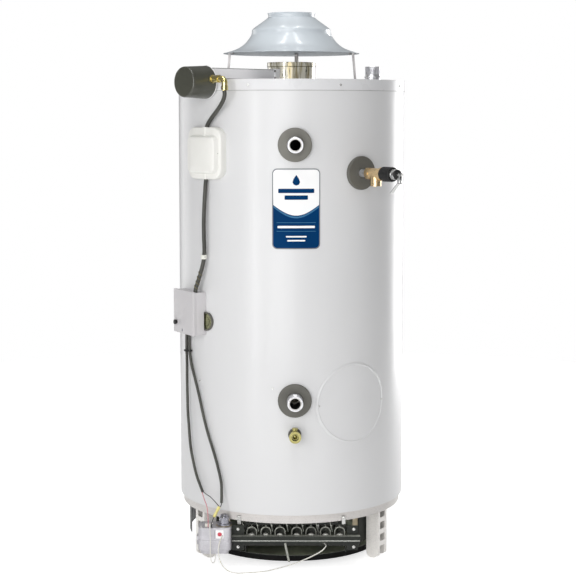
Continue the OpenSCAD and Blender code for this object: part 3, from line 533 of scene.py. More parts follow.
def brushed(name, color, rough=(0.25, 0.4), stretch=(1, 1, 25), metallic=1.0):
    """Turned or drawn metal with fine lines across the stretch direction."""
    g = Graph(name, Metallic=metallic)
    lines = g.noise(90, 4, 0.7, g.stretched(stretch))
    tint = g.mix(g.remap(lines, 0.3, 0.7), tone(color, 0.82), tone(color, 1.1))
    tint = g.mix(g.remap(g.noise(14, 4, 0.6), 0.55, 0.85), tint, tone(color, 0.6))
    return g.finish(tint, g.remap(lines, 0.3, 0.7, *rough), g.bump(lines, 0.0002, 0.3))


def cast(name, color, highlight, rough=(0.45, 0.7), metallic=0.6, grain=160, bump=0.0006):
    """Rough cast metal, with the raised grains rubbed brighter."""
    g = Graph(name, Metallic=metallic)
    grains = g.noise(grain, 5, 0.65)
    broad = g.noise(11, 4, 0.6)
    tint = g.mix(g.remap(grains, 0.5, 0.72), color, highlight)
    tint = g.mix(g.remap(broad, 0.4, 0.75), tint, tone(color, 0.7))
    return g.finish(tint, g.remap(broad, 0.3, 0.7, *rough), g.bump(grains, bump, 0.5))


MATERIALS = dict(
    jacket=enamel("jacket_enamel", (0.65, 0.65, 0.655), (0.30, 0.32), 0.05, 0.42),
    cover=enamel("cover_enamel", (0.66, 0.66, 0.67), (0.25, 0.38)),
    warm=speckled("leg_enamel", (0.82, 0.795, 0.76)),
    ring=speckled("ring_enamel", (0.60, 0.575, 0.555)),
    box=enamel("box_enamel", (0.56, 0.545, 0.555), (0.4, 0.5)),
    hood=enamel("hood_enamel", (0.60, 0.65, 0.69), (0.3, 0.4), 0.5, 0.5),
    motor=surface("motor_paint", (0.055, 0.056, 0.042), (0.30, 0.42), 0.12, 9, 0.0002, 500,
                  Coat_Weight=0.5, Coat_Roughness=0.25),
    # Its pale upward faces are partly dust and partly a painted highlight along top edges.
    black=surface("black_paint", (0.010, 0.012, 0.009), (0.3, 0.45), 0.3, 8, 0.0002, 260,
                  smudge=(0.026, 0.030, 0.022), dust_and_top_highlight=(0.34, 0.35, 0.31), Coat_Weight=0.1,
                  Coat_Roughness=0.2, Specular_IOR_Level=0.3),
    soot=surface("soot_black", (0.004, 0.004, 0.004), (0.5, 0.7), 0.3, 20,
                 Specular_IOR_Level=0.1),
    screw=brushed("zinc_screw", (0.70, 0.70, 0.68), (0.18, 0.35)),
    steel=brushed("bright_steel", (0.62, 0.62, 0.61), (0.16, 0.32)),
    dark_steel=cast("dark_steel", (0.10, 0.10, 0.095), (0.22, 0.22, 0.20), metallic=0.8),
    zinc=galvanised("galvanised", (0.74, 0.74, 0.76)),
    brown_zinc=galvanised("brown_galvanised", (0.40, 0.34, 0.24)),
    # The streaks on the collar and on the beads are painted reflections of the surroundings.
    collar=painted_reflection_streaks("collar_steel", (0.95, 0.91, 0.78), (0.06, 0.065, 0.045),
                    (0.46, 0.39, 0.23)),
    bead=painted_reflection_streaks("bead_steel_painted_reflections", (0.30, 0.28, 0.18), (0.02, 0.02, 0.015), (0.10, 0.09, 0.05)),
    anode=brushed("anode_metal", (0.6, 0.6, 0.6), (0.4, 0.6)),
    casting=cast("cast_aluminium", (0.54, 0.53, 0.56), (0.68, 0.67, 0.70), (0.35, 0.5), 0.3, 240,
                 0.0003),
    gear=brushed("gear_brass", (0.62, 0.42, 0.14), (0.2, 0.35)),
    brass=brushed("valve_brass", (0.80, 0.60, 0.34), (0.24, 0.40), (1, 1, 6)),
    elbow=surface("yellow_zinc", (0.74, 0.63, 0.26), (0.15, 0.3), 0.2, 30,
                  smudge=(0.80, 0.70, 0.45), Metallic=0.95),
    well=surface("well_brass", (0.36, 0.37, 0.22), (0.18, 0.3), 0.2, 30, Metallic=0.95),
    iron=cast("burner_iron", (0.16, 0.165, 0.145), (0.42, 0.43, 0.38), (0.35, 0.5), 0.3),
    # Pale rings round the burner mouths: painted edge highlights.
    rim=cast("mouth_rim_highlight", (0.42, 0.43, 0.38), (0.70, 0.71, 0.64), (0.3, 0.45), 0.3),
    strut=cast("strut_steel", (0.42, 0.43, 0.38), (0.66, 0.66, 0.60), (0.3, 0.45), 0.3),
    # The pan floor's colour is a painted sheen on the black pan, made bright to stand against the
    # shade inside it.
    olive_painted_sheen=surface("pan_floor_painted_sheen", (0.42, 0.46, 0.33), (0.35, 0.5), 0.3, 9, 0.0002, 260,
                  smudge=(0.60, 0.64, 0.46), Coat_Weight=0.3, Coat_Roughness=0.3),
    # Dark strips along the bracket's top and bottom edges: painted shade on its folds.
    hem=surface("bracket_edge_shade", (0.16, 0.16, 0.155), (0.35, 0.5), 0.2, 20),
    # A grey ring under the top cover's rim: a painted shadow line.
    seam=surface("rim_shadow_grey", (0.40, 0.40, 0.40), (0.5, 0.6), 0.1, 20),
    nut=brushed("drain_nut", (0.13, 0.12, 0.055), (0.3, 0.45)),
    # A pale strip on the bar's front top edge: a painted highlight line.
    lip=cast("bar_painted_highlight", (0.50, 0.51, 0.47), (0.72, 0.72, 0.68), (0.3, 0.45), 0.2),
    drain_brass=brushed("drain_brass", (0.44, 0.40, 0.16), (0.24, 0.40), (1, 1, 6)),
    liner=surface("liner_plastic", (0.74, 0.73, 0.70), (0.4, 0.5), 0.04, 30),
    orifice=brushed("orifice_steel", (0.85, 0.85, 0.80), (0.3, 0.45), metallic=0.2),
    wrap=surface("spiral_wrap", (0.15, 0.135, 0.060), (0.4, 0.5), 0.2, 40, 0.0002, 400),
    bracket=enamel("bracket_zinc", (0.95, 0.94, 0.95), (0.3, 0.42)),
    leg_zinc=brushed("leg_zinc", (0.50, 0.48, 0.48), (0.3, 0.45), (25, 25, 1), 0.5),
    foam=cast("foam", (0.72, 0.60, 0.34), (0.80, 0.70, 0.45), (0.8, 0.95), 0.0, 400, 0.0008),
    ivory=surface("ivory_plastic", (0.74, 0.70, 0.58), (0.4, 0.5), 0.04),
    loom=surface("loom_plastic", (0.050, 0.050, 0.042), (0.38, 0.5), 0.25, 20, 0.0002, 400),
    cream=surface("cream_plastic", (0.76, 0.755, 0.72), (0.35, 0.45), 0.02, 4, 0.00008, 700),
    tie=surface("tie_plastic", (0.72, 0.72, 0.66), (0.35, 0.45), 0.06, 30),
    board=surface("circuit_board", (0.02, 0.16, 0.05), (0.3, 0.4), 0.2, 60),
    black_plastic=surface("black_plastic", (0.012, 0.012, 0.012), (0.35, 0.5), 0.3, 30, 0.0002,
                          500),
    grey_plastic=surface("grey_plastic", (0.105, 0.102, 0.088), (0.5, 0.62), 0.12, 20, 0.0003,
                         500),
    pale_grey_plastic=surface("pale_grey_plastic", (0.165, 0.160, 0.140), (0.5, 0.62), 0.12, 20,
                              0.0003, 500),
    pink=surface("pink_wire", (0.60, 0.22, 0.26), (0.3, 0.4), 0.08, 60),
    black_wire=surface("black_wire", (0.02, 0.02, 0.02), (0.3, 0.4), 0.2, 60),
    white_wire=surface("white_wire", (0.72, 0.71, 0.66), (0.4, 0.5), 0.08, 40,
                       smudge=(0.60, 0.57, 0.45)),
    sleeve=surface("yellow_sleeve", (0.70, 0.62, 0.20), (0.3, 0.4), 0.15, 80, 0.0003, 500,
                   smudge=(0.80, 0.78, 0.50)),
    knob=surface("knob_plastic", (0.34, 0.34, 0.38), (0.15, 0.25), 0.2, 60, 0.0002, 600,
                 Metallic=0.75),
    label_blue=printed("label_blue", (0.001, 0.034, 0.118), (0.5, 0.6), 0.1),
    label_pale_blue=printed("label_pale_blue", (0.05, 0.16, 0.30), (0.5, 0.6), 0.1),
    label_white=printed("label_white", (0.86, 0.86, 0.86), (0.25, 0.35), 0.02),
    label_grey=printed("label_grey", (0.20, 0.21, 0.23), (0.3, 0.4), 0.05),
    label_red=printed("label_red", (0.62, 0.10, 0.13), (0.3, 0.4), 0.1, 40),
)

# The finish of each CAD node that is shown as it is, or kept out of sight
FINISH = dict(
    jacket="jacket", cover="top_cover", warm="leg_left leg_right leg_rear",
    ring="base_ring", box="control_box control_cover", hood="draft_hood",
    motor="motor_cover", black="gas_manifold burner_tray burner_skirt", soot="drip_pan",
    screw="fasteners",
    steel="damper_shaft relief_lever relief_stem relief_spring pilot_burner",
    dark_steel="cleanout_plate tank_shell damper_motor",
    zinc="flue_collector pipe_nipples top_nipple flue_baffles damper_blade",
    bracket="damper_bracket", leg_zinc="hood_legs", orifice="orifices",
    collar="flue_collar", anode="anode_rods", casting="gas_valve",
    gear="damper_gear motor_pinion", brass="relief_body",
    drain_brass="drain_body drain_stem", elbow="conduit_elbow", well="thermostat_well",
    iron="burners", foam="insulation",
    ivory="inlet_tube", loom="harness_upper harness_middle harness_lower",
    cream="junction_cover", tie="harness_ties", board="control_board",
    black_plastic="reset_button relief_cap nipple_liners", grey_plastic="escutcheons",
    white_wire="lead_wires igniter_lead", sleeve="splice_sleeve", knob="gas_knob",
    label_blue="label_plate",
)


def finish_cad_nodes():
    for key, names in FINISH.items():
        for name in names.split():
            for held in NODES[name].material_slots:
                held.material = MATERIALS[key]


# ---- Camera and cords ----

EYE = Vector((-0.0027, -4.879, 1.3984))
FOCAL_PX = 1515.4
PICTURE_PX = 576
SENSOR_MM = 36
TILT_DEG = 5.231
PAN_DEG = 0.095
SHIFT = -0.06


def camera():
    data = bpy.data.cameras.new("camera")
    data.sensor_width = SENSOR_MM
    data.lens = SENSOR_MM * FOCAL_PX / PICTURE_PX
    data.shift_y = SHIFT
    cam = linked("camera", data)
    cam.location = EYE
    cam.rotation_euler = (radians(90 - TILT_DEG), 0, radians(PAN_DEG))
    bpy.context.scene.camera = cam


def igniter_lead():
    """The free white lead from the gas valve along the floor to the pilot burner."""
    path = catmull(IGNITER_ROUTE, 5)
    lead = piece("igniter_cable", [swept(path, IGNITER_R, 12)], "white_wire",
                 hides=["igniter_lead"])


# ---- Top: hood, collar and motor ----

HOOD_PROFILE = [(73.5, 202), (82, 195), (100, 182), (118, 169), (125, 162), (126, 155), (127, 149),
                (132, 139), (146, 121), (162, 108), (179, 99.5), (198, 93), (216, 88.3)]


def draft_hood():
    """One spun sheet with a hemmed rim and a beaded neck."""
    outer = [(p.x, p.y) for p in catmull([(r, z, 0) for r, z in HOOD_PROFILE], 5)]
    hem = [(217, 87.6), (217.2, 87), (216.8, 86.8), (215.6, 86.9)]
    inner = [(r - 1, z - 1) for r, z in reversed(outer)]
    neck_outside = [(76.2, 214.6), (75.2, 212.8), (74.2, 210), (73.6, 206)]
    neck_inside = [(72.3, 206), (73, 210), (74.2, 213), (75.4, 215)]
    sheet = lathe(neck_outside + outer + hem + inner + neck_inside, 144, closed=True)
    piece("draft_hood_sheet", [placed(sheet, upright(z=TOP_Z))], "hood",
          hides=["draft_hood"], sharp=50)


def collar_details():
    """The collar's crimped lip and beads, the bracket's screws and dark edge strips of painted
    shade, and a grey ring of painted shadow under the cover's rim.
    """
    n, crimps = 360, 40
    rings = [[((76.3 + wave * cos(crimps * a)) * cos(a), (76.3 + wave * cos(crimps * a)) * sin(a),
               TOP_Z + z) for a in (tau * j / n for j in range(n))]
             for z, wave in ((46.5, 0), (48, 0.9), (53, 1.0), (58, 1.0), (59, 0.6))]
    rings += [circle(75, TOP_Z + 59, n), circle(75, TOP_Z + 46.5, n)]
    piece("collar_lip", [loft(rings, closed=True)], "collar", sharp=70)
    piece("collar_beads", [torus(76.2, 1.2, TOP_Z + 45, 96), torus(76.4, 0.9, TOP_Z + 57.6, 96)],
          "bead", sharp=70)
    heads = []
    for dz in (8, 30):
        for x in (-19.5, 19.5):
            spot = turned(MOTOR_AZ, "Z") @ upright(x, -92, TOP_Z + dz) @ turned(90, "X")
            heads += screw(spot, 3.4, 2.6)
    piece("bracket_screws", heads, "dark_steel")
    # Dark strips along the bracket's folded edges, painted shade.
    edge_shades = [placed(box_shape((x - 0.5, x + 0.5), (-365, -93.5), (z, z + 1.7), 0.3),
                   turned(MOTOR_AZ, "Z"))
            for x in (-17.9, 17.9) for z in (TOP_Z + 2.1, TOP_Z + 33.2)]
    piece("bracket_edge_shades", edge_shades, "hem")
    # A thin grey ring just under the cover's rim: a painted shadow line.
    edge = TOP_Z - COVER_RIM
    seam = [(JACKET_R + 0.1, edge - 1.7), (JACKET_R + 1.1, edge - 1.4),
            (JACKET_R + 1.3, edge - 0.1), (JACKET_R + 0.1, edge - 0.1)]
    piece("cover_rim_shadow", [lathe(seam, 240, closed=True)], "seam")


# ---- Fittings on the jacket ----


def nipple(low, high, thread):
    """A steel pipe nipple with a cut thread, bored through."""
    start = high - thread
    rings = [circle(NIPPLE_R, low), circle(NIPPLE_R, start - 2.6),
             circle(NIPPLE_R - 0.9, start - 1.8), circle(NIPPLE_R - 0.9, start - 0.6)]
    rings += threaded(NIPPLE_R, start, high - 1.4)
    rings += [circle(NIPPLE_R - 1.4, high), circle(NIPPLE_BORE + 0.8, high),
              circle(NIPPLE_BORE, high - 1), circle(NIPPLE_BORE, low)]
    return loft(rings, closed=True)


def liner(low, high):
    """The dark inside of the plastic liner in a nipple."""
    return lathe([(NIPPLE_BORE - 0.05, low), (NIPPLE_BORE - 0.05, high - 2.5),
                  (LINER_BORE, high - 2.5), (LINER_BORE, low)], 48, closed=True)


def liner_mouth(high):
    """The pale lip of the liner, flush with the nipple's mouth."""
    return lathe([(NIPPLE_BORE - 0.05, high - 2.5), (NIPPLE_BORE - 0.05, high - 0.6),
                  (NIPPLE_BORE - 0.6, high - 0.1), (LINER_BORE + 0.5, high - 0.1),
                  (LINER_BORE, high - 0.8), (LINER_BORE, high - 2.5)], 48, closed=True)


def at_pipes(front, top):
    """A shape on the hot and the cold pipe, and another on the top pipe."""
    return [placed(front, outward(FRONT_AZ, z)) for z in (HOT_Z, COLD_Z)] + [
        placed(top, upright(TOP_PIPE_X))]


def pipe_fittings():
    *fronts, top = at_pipes(nipple(300, FRONT_PIPE_END, 26), nipple(1415, TOP_PIPE_END, 24))
    relief = lathe([(12, 300), (12, 396), (8, 396), (8, 300)], 32, closed=True)
    fronts.append(placed(relief, outward(RELIEF_AZ, RELIEF_Z)))
    piece("front_pipe_nipples", fronts, "zinc", hides=["pipe_nipples"])
    rings = [lathe([(NIPPLE_R, low), (r - 0.8, low), (r, low + 0.8), (r, high - 0.8),
                    (r - 0.8, high), (NIPPLE_R, high)], 48, closed=True)
             for r, low, high in ((26.4, 10, 15), (29.2, 0, 4))]
    rings = [placed(ring, upright(TOP_PIPE_X, z=TOP_Z)) for ring in rings]
    piece("top_pipe_nipple", [top] + rings, "zinc", hides=["top_nipple"])
    piece("liners", at_pipes(liner(330, FRONT_PIPE_END), liner(1420, TOP_PIPE_END)),
          "black_plastic", hides=["nipple_liners"])
    piece("liner_mouths", at_pipes(liner_mouth(FRONT_PIPE_END), liner_mouth(TOP_PIPE_END)),
          "liner")


def valve_details():
    """The relief cap's bright metal nose, the drain valve's dark nut, and a black ring of painted
    shade inside its bore.
    """
    nose = lathe([(15.1, 515), (15.7, 515.6), (15.7, 520), (14.6, 521), (15.7, 522), (15.7, 531),
                  (15.1, 533)], 48)
    piece("relief_nose", [placed(nose, outward(RELIEF_AZ, RELIEF_Z))], "steel")
    at_drain = outward(FRONT_AZ, DRAIN_Z)
    piece("drain_nut", [placed(hexagon(17.5, 364.7, 374.3), at_drain)], "nut")
    # A black ring inside the drain's bore: painted shade in the hole.
    bore = lathe([(10.45, 399.1), (10.45, 406.6), (9.8, 406.6), (9.8, 399.1)], 32, closed=True)
    piece("drain_bore_shade", [placed(bore, at_drain)], "soot")


def relief_spring():
    """The relief valve's coil, held at its outer end and drawn at one length; the real coil
    shortens as the stem lifts 4 mm.
    """
    steps = 84
    path = [Vector((6.5 * cos(radians(30 * k)), 6.5 * sin(radians(30 * k)),
                    410.2 + 88.4 * k / steps)) for k in range(steps + 1)]
    coil = piece("relief_coil", [placed(swept(path, 0.9, 8), outward(RELIEF_AZ, RELIEF_Z))],
                 "steel", hides=["relief_spring"])
    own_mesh(coil)


def ring_on_jacket(az, z, r_out, r_in, face, round_off=2.5, n=96):
    """A moulded ring whose back edge follows the jacket and whose face is flat."""
    def skirt(r, height):
        return [(x, y, sqrt((JACKET_R + height) ** 2 - x * x)) for x, y, _ in circle(r, n=n)]
    rings = [skirt(r_in, 0.3), skirt(r_out - 0.6, 0.3), skirt(r_out, 1.0),
             circle(r_out, face - round_off, n)]
    for k in range(1, 5):
        a = radians(90 * k / 4)
        rings.append(circle(r_out - round_off * (1 - cos(a)), face - round_off * (1 - sin(a)), n))
    rings += [circle(r_in + 3, face, n), circle(r_in + 1, face - 0.6, n),
              circle(r_in, face - 1.6, n)]
    return placed(loft(rings, closed=True), outward(az, z))


def escutcheons():
    """The ring around the hot pipe is a paler, weathered grey than the others."""
    def pipe_ring(z):
        return ring_on_jacket(FRONT_AZ, z, ESCUTCHEON_R, NIPPLE_R + 0.3, JACKET_R + 9)

    piece("pale_escutcheon", [pipe_ring(HOT_Z)], "pale_grey_plastic",
          hides=["escutcheons"])
    rings = [pipe_ring(COLD_Z),
             ring_on_jacket(RELIEF_AZ, RELIEF_Z, ESCUTCHEON_R, 12.3, JACKET_R + 9),
             ring_on_jacket(FRONT_AZ, DRAIN_Z, 20, 10.3, JACKET_R + 4, 1.5, 48),
             ring_on_jacket(WELL_AZ, WELL_Z, 29, 24.3, JACKET_R + 7, 2, 64)]
    piece("dark_escutcheons", rings, "grey_plastic")


def cleanout_cover():
    """A round cover pressed with a bead near its edge."""
    steps = [(248, 0.3), (248, 1.2), (246.6, 1.7), (243, 1.7), (241, 2.7), (238, 3.0), (235, 2.7),
             (233, 1.6), (120, 1.5), (40, 1.5)]
    rings = [[on_jacket(CLEANOUT_AZ, CLEANOUT_Z, x, y, height)
              for x, y, _ in circle(d / 2, n=96)] for d, height in steps]
    piece("cleanout_disc", [loft(rings)], "jacket", hides=["cleanout_cover"])


def junction_cover():
    """A moulded cover: a deep flange with round corners and a raised box with sloping sides."""
    flange = [(150, 158, 35, 0.3), (150, 158, 35, 17.5), (149, 157, 34.5, 20.2),
              (146.5, 154.5, 33.5, 22), (143, 151, 32, 22.8), (118, 118, 20, 23)]
    box = [(128, 116, 18, 23.2), (125, 113, 17, 25.5), (121, 109, 16, 34),
           (118, 106, 15, 36.4), (113, 101, 14, 37.6), (66, 60, 10, 37.8), (8, 8, 3, 37.8)]

    def section(w, h, r, height, across=0, down=0):
        return [on_jacket(JUNCTION_AZ, JUNCTION_Z - down, x + across, y, height)
                for x, y in rounded_outline(w, h, r, 8)]

    shapes = [loft([section(*step) for step in flange] + [section(*step, 2, 4) for step in box])]
    tunnel = [(-7.6, 0), (-7.6, 9), (-4, 12.5), (4, 12.5), (7.6, 9), (7.6, 0)]
    for low, high in ((1334, 1361.2), (1203.2, 1224)):
        hood = loft([[(x, -(JACKET_R + 10 + y), z) for x, y in tunnel] for z in (low, high)])
        shapes.append(placed(hood, turned(JUNCTION_AZ + 1, "Z")))
    piece("junction_moulding", shapes, "cream", hides=["junction_cover"], sharp=30)


def control_box_cover():
    """A folded sheet cover with round bends, a small raised mark and the button's bezel."""
    centre = turned(CONTROL_AZ, "Z") @ upright(CONTROL_SHIFT, 0, CONTROL_Z + CONTROL_H / 2)
    centre = centre @ turned(90, "X")
    softened("control_lid", "control_cover", 2.2, "box", steps=3)
    softened("control_case", "control_box", 0.8, "box")
    mark = box_shape((-12, -3), (-63, -49), (CONTROL_END - 0.2, CONTROL_END + 0.5), 0.3)
    window = box_shape((-10.5, -4.5), (-61, -53), (CONTROL_END + 0.3, CONTROL_END + 0.7), 0.2)
    piece("lid_mark", [placed(mark, centre)], "box")
    piece("lid_window", [placed(window, centre)], "label_grey")
    collar = lathe([(8.1, 0), (9.6, 0), (9.6, 0.8), (8.9, 1.2), (8.1, 1.2)], 32, closed=True)
    spot = centre @ upright(-CONTROL_SHIFT - 29, 32 - CONTROL_H / 2, CONTROL_END)
    piece("button_bezel", [placed(collar, spot)], "box")


# ---- Label ----

LABEL_AZ, LABEL_Z, LABEL_W, LABEL_H = 2.3, 1118, 144, 241


def label():
    """A plain two-colour plate: a white head over a blue field with an arc between them."""
    piece("label_rim", [plate_on_jacket(LABEL_AZ, LABEL_Z, rounded_outline(LABEL_W, LABEL_H, 15, 8),
                                        0.3, 1.1, 0.3)], "label_grey",
          hides=["label_plate"])
    inner_w, inner_h = LABEL_W - 6, LABEL_H - 6
    half, arc_low, arc_side = inner_w / 2, -20, 12
    field = rounded_outline(inner_w, inner_h, 12.5, 8)
    arc = [(half * t * 0.999, arc_side - (arc_side - arc_low) * cos(pi / 2 * t))
           for t in (2 * k / 24 - 1 for k in range(25))]
    head = [p for p in field[:18] if p[1] > 0]
    head = [(half, arc_side + 30)] + head + [(-half, arc_side + 30)]
    band = [(x, y - 3) for x, y in arc] + [(x, y - 8) for x, y in reversed(arc)]
    drop = [(15 * sin(t) * sin(t / 2) ** 1.2, 86 + 16 * cos(t))
            for t in (tau * k / 40 for k in range(40))]
    layers = [("field", field, 1.0, "label_blue"), ("head", head + arc, 1.2, "label_white"),
              ("arc", [(0.985 * x, y) for x, y in band], 1.2, "label_pale_blue"),
              ("droplet", drop, 1.4, "label_blue")]
    bars = [(54, 108, 13, "label_blue"), (34, 70, 13, "label_blue"),
            (-41, 118, 1.6, "label_pale_blue"), (-54, 112, 7, "label_white"),
            (-67, 118, 1.6, "label_pale_blue"), (-83, 62, 4.5, "label_white"),
            (-95, 54, 4.5, "label_white")]
    for k, (y, w, h, ink) in enumerate(bars):
        bar = [(x, y + dy) for x, dy in rounded_outline(w, h, min(1.5, 0.45 * h), 3)]
        layers.append((f"bar_{k}", bar, 1.4, ink))
    for name, outline, low, ink in layers:
        piece("label_" + name, [plate_on_jacket(LABEL_AZ, LABEL_Z, outline, low, low + 0.3, 0.15)],
              ink)


# ---- Wiring ----

LOOM_PITCH = 3.2


def loom(route, r):
    """Corrugated sleeve: ribs along a smooth path."""
    path = evenly(catmull(route, 6), LOOM_PITCH / 4)

    def ribbed(i):
        at_end = i in (0, len(path) - 1)
        return r - 0.6 if at_end else r - 0.55 * (1 - abs(2 * ((i / 4) % 1) - 1))
    return swept(path, ribbed, 14)


def wiring():
    for name, node, routes, r in (("upper_loom", "harness_upper", [UPPER_ROUTE], 6.5),
                                  ("middle_loom", "harness_middle", [MIDDLE_ROUTE], 6.5),
                                  ("lower_looms", "harness_lower", [LEFT_ROUTE, RIGHT_ROUTE], 4.7)):
        piece(name, [loom(route, r) for route in routes], "loom", hides=[node],
              sharp=80)
    wrap = catmull(MIDDLE_ROUTE, 10)
    wrap = evenly([p for p in wrap if 861 < p.z < 925], 1.2)
    helix = []
    for i, p in enumerate(wrap):
        t = (wrap[min(i + 1, len(wrap) - 1)] - wrap[max(i - 1, 0)]).normalized()
        side = t.cross(Vector((0, 1, 0))).normalized()
        a = tau * i / 13
        helix.append(p + 6.6 * (cos(a) * side + sin(a) * side.cross(t)))
    piece("spiral_wrap", [swept(helix, 1.3, 8)], "wrap", sharp=80)
    colours = {"pink": "pink", "black": "black_wire", "tail": "black_wire", "coil": "black_wire",
               "ground": "white_wire"}
    for k, (name, route) in enumerate(WIRE_ROUTES.items()):
        piece("wire_" + name, [swept(catmull(route, 8), 1.3, 12)], colours[name],
              hides=["lead_wires"] if k == 0 else ())
    low, high = Vector((-236, -346, 176)), Vector((-220, -343, 207))
    axis = (high - low).normalized()
    sleeve = [(0, 4.6), (0.04, 5.2), (0.3, 5.4), (0.42, 4.6), (0.55, 4.7), (0.66, 5.3),
              (0.95, 5.4), (1, 4.6), (1, 2.5)]
    stations = [(low + (high - low) * t, r) for t, r in sleeve]
    side = axis.orthogonal().normalized()
    other = axis.cross(side)
    rings = [[tuple(p + r * (cos(tau * j / 20) * side + 0.8 * sin(tau * j / 20) * other))
              for j in range(20)] for p, r in stations]
    piece("splice", [loft(rings)], "sleeve", hides=["splice_sleeve"])


def ties():
    """A white strap round the middle loom, and a dark one round the two lower looms."""
    white = lathe([(7.8, 0), (8.6, 0), (9.0, 0.8), (9.0, 5.6), (8.4, 6.5), (9.0, 7.4), (9.0, 12.2),
                   (8.6, 13), (7.8, 13)], 32, closed=True)
    buckle = box_shape((-3, 3), (-11.5, -8.4), (3, 10))
    spot = upright(-267.3, -268, 959)
    piece("white_tie", [placed(s, spot) for s in (white, buckle)], "tie",
          hides=["harness_ties"])
    outline, inner = rounded_outline(26.5, 14.6, 5, 5), rounded_outline(24, 12.2, 4, 5)
    spot = upright(-323, -182, 661) @ turned(-35, "Z")
    strap = loft([level(outline, 0), level(outline, 5), level(inner, 5), level(inner, 0)],
                 closed=True)
    lock = box_shape((-4, 4), (-10, -6.2), (-0.5, 5.5))
    tail = box_shape((-15.5, -12), (-3, -1.6), (1, 4))
    piece("dark_tie", [placed(s, spot) for s in (strap, lock, tail)], "black_plastic")


# ---- Fasteners ----


def jacket_screws():
    """(azimuth, height, distance of the seat, head radius) of each screw in the round sheets."""
    rim = [(24 + 45 * k, TOP_Z - 18, JACKET_R + 1.5, 3.5) for k in range(8)]
    lid = [(CLEANOUT_AZ + side, CLEANOUT_Z - 2, JACKET_R + 1.5, 3) for side in (-18.5, 18.5)]
    sheet = [(az, 574, JACKET_R, 3) for az in (-9, -52)]
    box = [(JUNCTION_AZ + side, JUNCTION_Z, JACKET_R + 23, 3) for side in (-9.5, 9.5)]
    clips = [(side * CLIP_AZ, 166, RING_R + 3, 5) for side in (-1, 1)]
    return rim + lid + sheet + box + clips


def clip(az):
    """A bent steel clip under the ring, pressed by its screw."""
    bend = [(-2, 0), (3, 0), (3, 1.6), (1.6, 3.2), (-24, 3.2), (-24, 1.7), (0, 1.7), (0, 1.4)]
    sheet = loft([[(x, y, z) for y, z in bend] for x in (-6, 6)])
    return placed(sheet, outward(az, 169, RING_R))


def fasteners():
    heads = []
    for az, z, rho, r in jacket_screws():
        heads += screw(outward(az, z, rho), r, r)
    for az in HOOD_LEG_AZ:
        spot = turned(az, "Z") @ upright(0, -216, TOP_Z + 1.5)
        heads += screw(spot, 3.5, 3.2)
    for x in (-165, 193):
        for z in (66, 122):
            spot = upright(x, PLATE_Y, z) @ turned(90, "X")
            heads += screw(spot, 5, 4.4)
    heads += [clip(side * CLIP_AZ) for side in (-1, 1)]
    piece("screws_and_clips", heads, "screw", hides=["fasteners"], sharp=25)


def back_seam():
    """The jacket's lapped upright seam at the back, with its rivets."""
    width, low, high = 14, JACKET_Z + 1, TOP_Z - 38
    outline = rounded_outline(width, high - low, 1, 2)
    strip = plate_on_jacket(180, (low + high) / 2, split_long(outline, 60), 0.0, 0.9, 0.3)
    rivets = [placed(lathe([(2.6, 0), (2.6, 0.5), (1.6, 1.3), (0.4, 1.5)], 16),
                     outward(180, low + 60 + 190 * k, JACKET_R + 0.7)) for k in range(7)]
    piece("jacket_seam", [strip] + rivets, "jacket")


# ---- Burner end ----


def burner_details():
    """Pale rings round the burner mouths as painted edge highlights, the pan with its floor
    coloured as a painted sheen, the bar's edge with a pale painted highlight line, rusty linings,
    struts and a strap.
    """
    # A pale ring round each mouth, a painted edge highlight.
    rim_highlights = []
    for x in BURNER_X:
        path = [Vector((x + MOUTH_R * cos(radians(a)), MOUTH_Y,
                        (MOUTH_HIGH if a <= 180 else MOUTH_LOW) + MOUTH_R * sin(radians(a))))
                for a in range(0, 360, 10)]
        side, rings = Vector((0, 1, 0)), []
        for i, p in enumerate(path):
            other = (path[(i + 1) % len(path)] - path[i - 1]).normalized().cross(side)
            rings.append([tuple(p + 1.5 * (cos(radians(a)) * side + sin(radians(a)) * other))
                          for a in range(0, 360, 45)])
        rim_highlights.append(loft(rings, closed=True))
    piece("mouth_rim_highlights", rim_highlights, "rim", sharp=60)
    piece("pan_edge", [torus(286.2, 1.3, 37.4, 128, 8)], "black", sharp=60)
    # The floor disc's colour is a painted sheen, bright against the shade in the pan.
    piece("pan_floor", [lathe([(0, 21.6), (240, 21.6), (284.8, 22.4), (285.2, 23.2), (284, 23.4),
                               (240, 22.4), (0, 22.4)], 128)], "olive_painted_sheen")
    low, high = -184, 211
    # A pale strip along the bar's front top edge, a painted highlight line.
    lip = box_shape((low, high), (-311.4, -308.6), (89.4, 92.2), 0.4)
    piece("bar_painted_highlight", [lip], "lip")
    groove = box_shape((low, high), (-309.4, -291), (92, 94.5), 0.2)
    piece("bar_groove", [groove], "soot")
    strap = placed(box_shape((-0.3, 6.3), (-0.4, 2.2), (0.5, 60.4), 0.3),
                   upright(-10, -292, 18.8) @ turned(-12, "Y"))
    piece("pan_strap", [strap], "strut")
    edges = ((286.2, 80), (287.4, 80), (287.4, 182), (286.2, 182))
    linings = []
    for start in (42, 308):
        arc = [radians(start + 10 * k / 8) for k in range(9)]
        linings.append(loft([[(r * sin(a), -r * cos(a), z) for r, z in edges] for a in arc]))
    piece("inner_lining", linings, "brown_zinc")
    struts = []
    for x in (-145, -101, -57, -9, 39, 84, 128):
        low, high = Vector((x, -261.5, 107)), Vector((x - 10, -261.5, 149))
        struts.append(placed(box_shape((-3.2, 3.2), (-1.6, 0.4), (0, (high - low).length), 0.4),
                             along(high - low, low)))
        struts.append(placed(lathe([(3, 0), (3, 1), (2, 1.8), (0.4, 2)], 16),
                             upright(x - 4, -263, 126) @ turned(90, "X")))
    piece("burner_struts", struts, "strut")


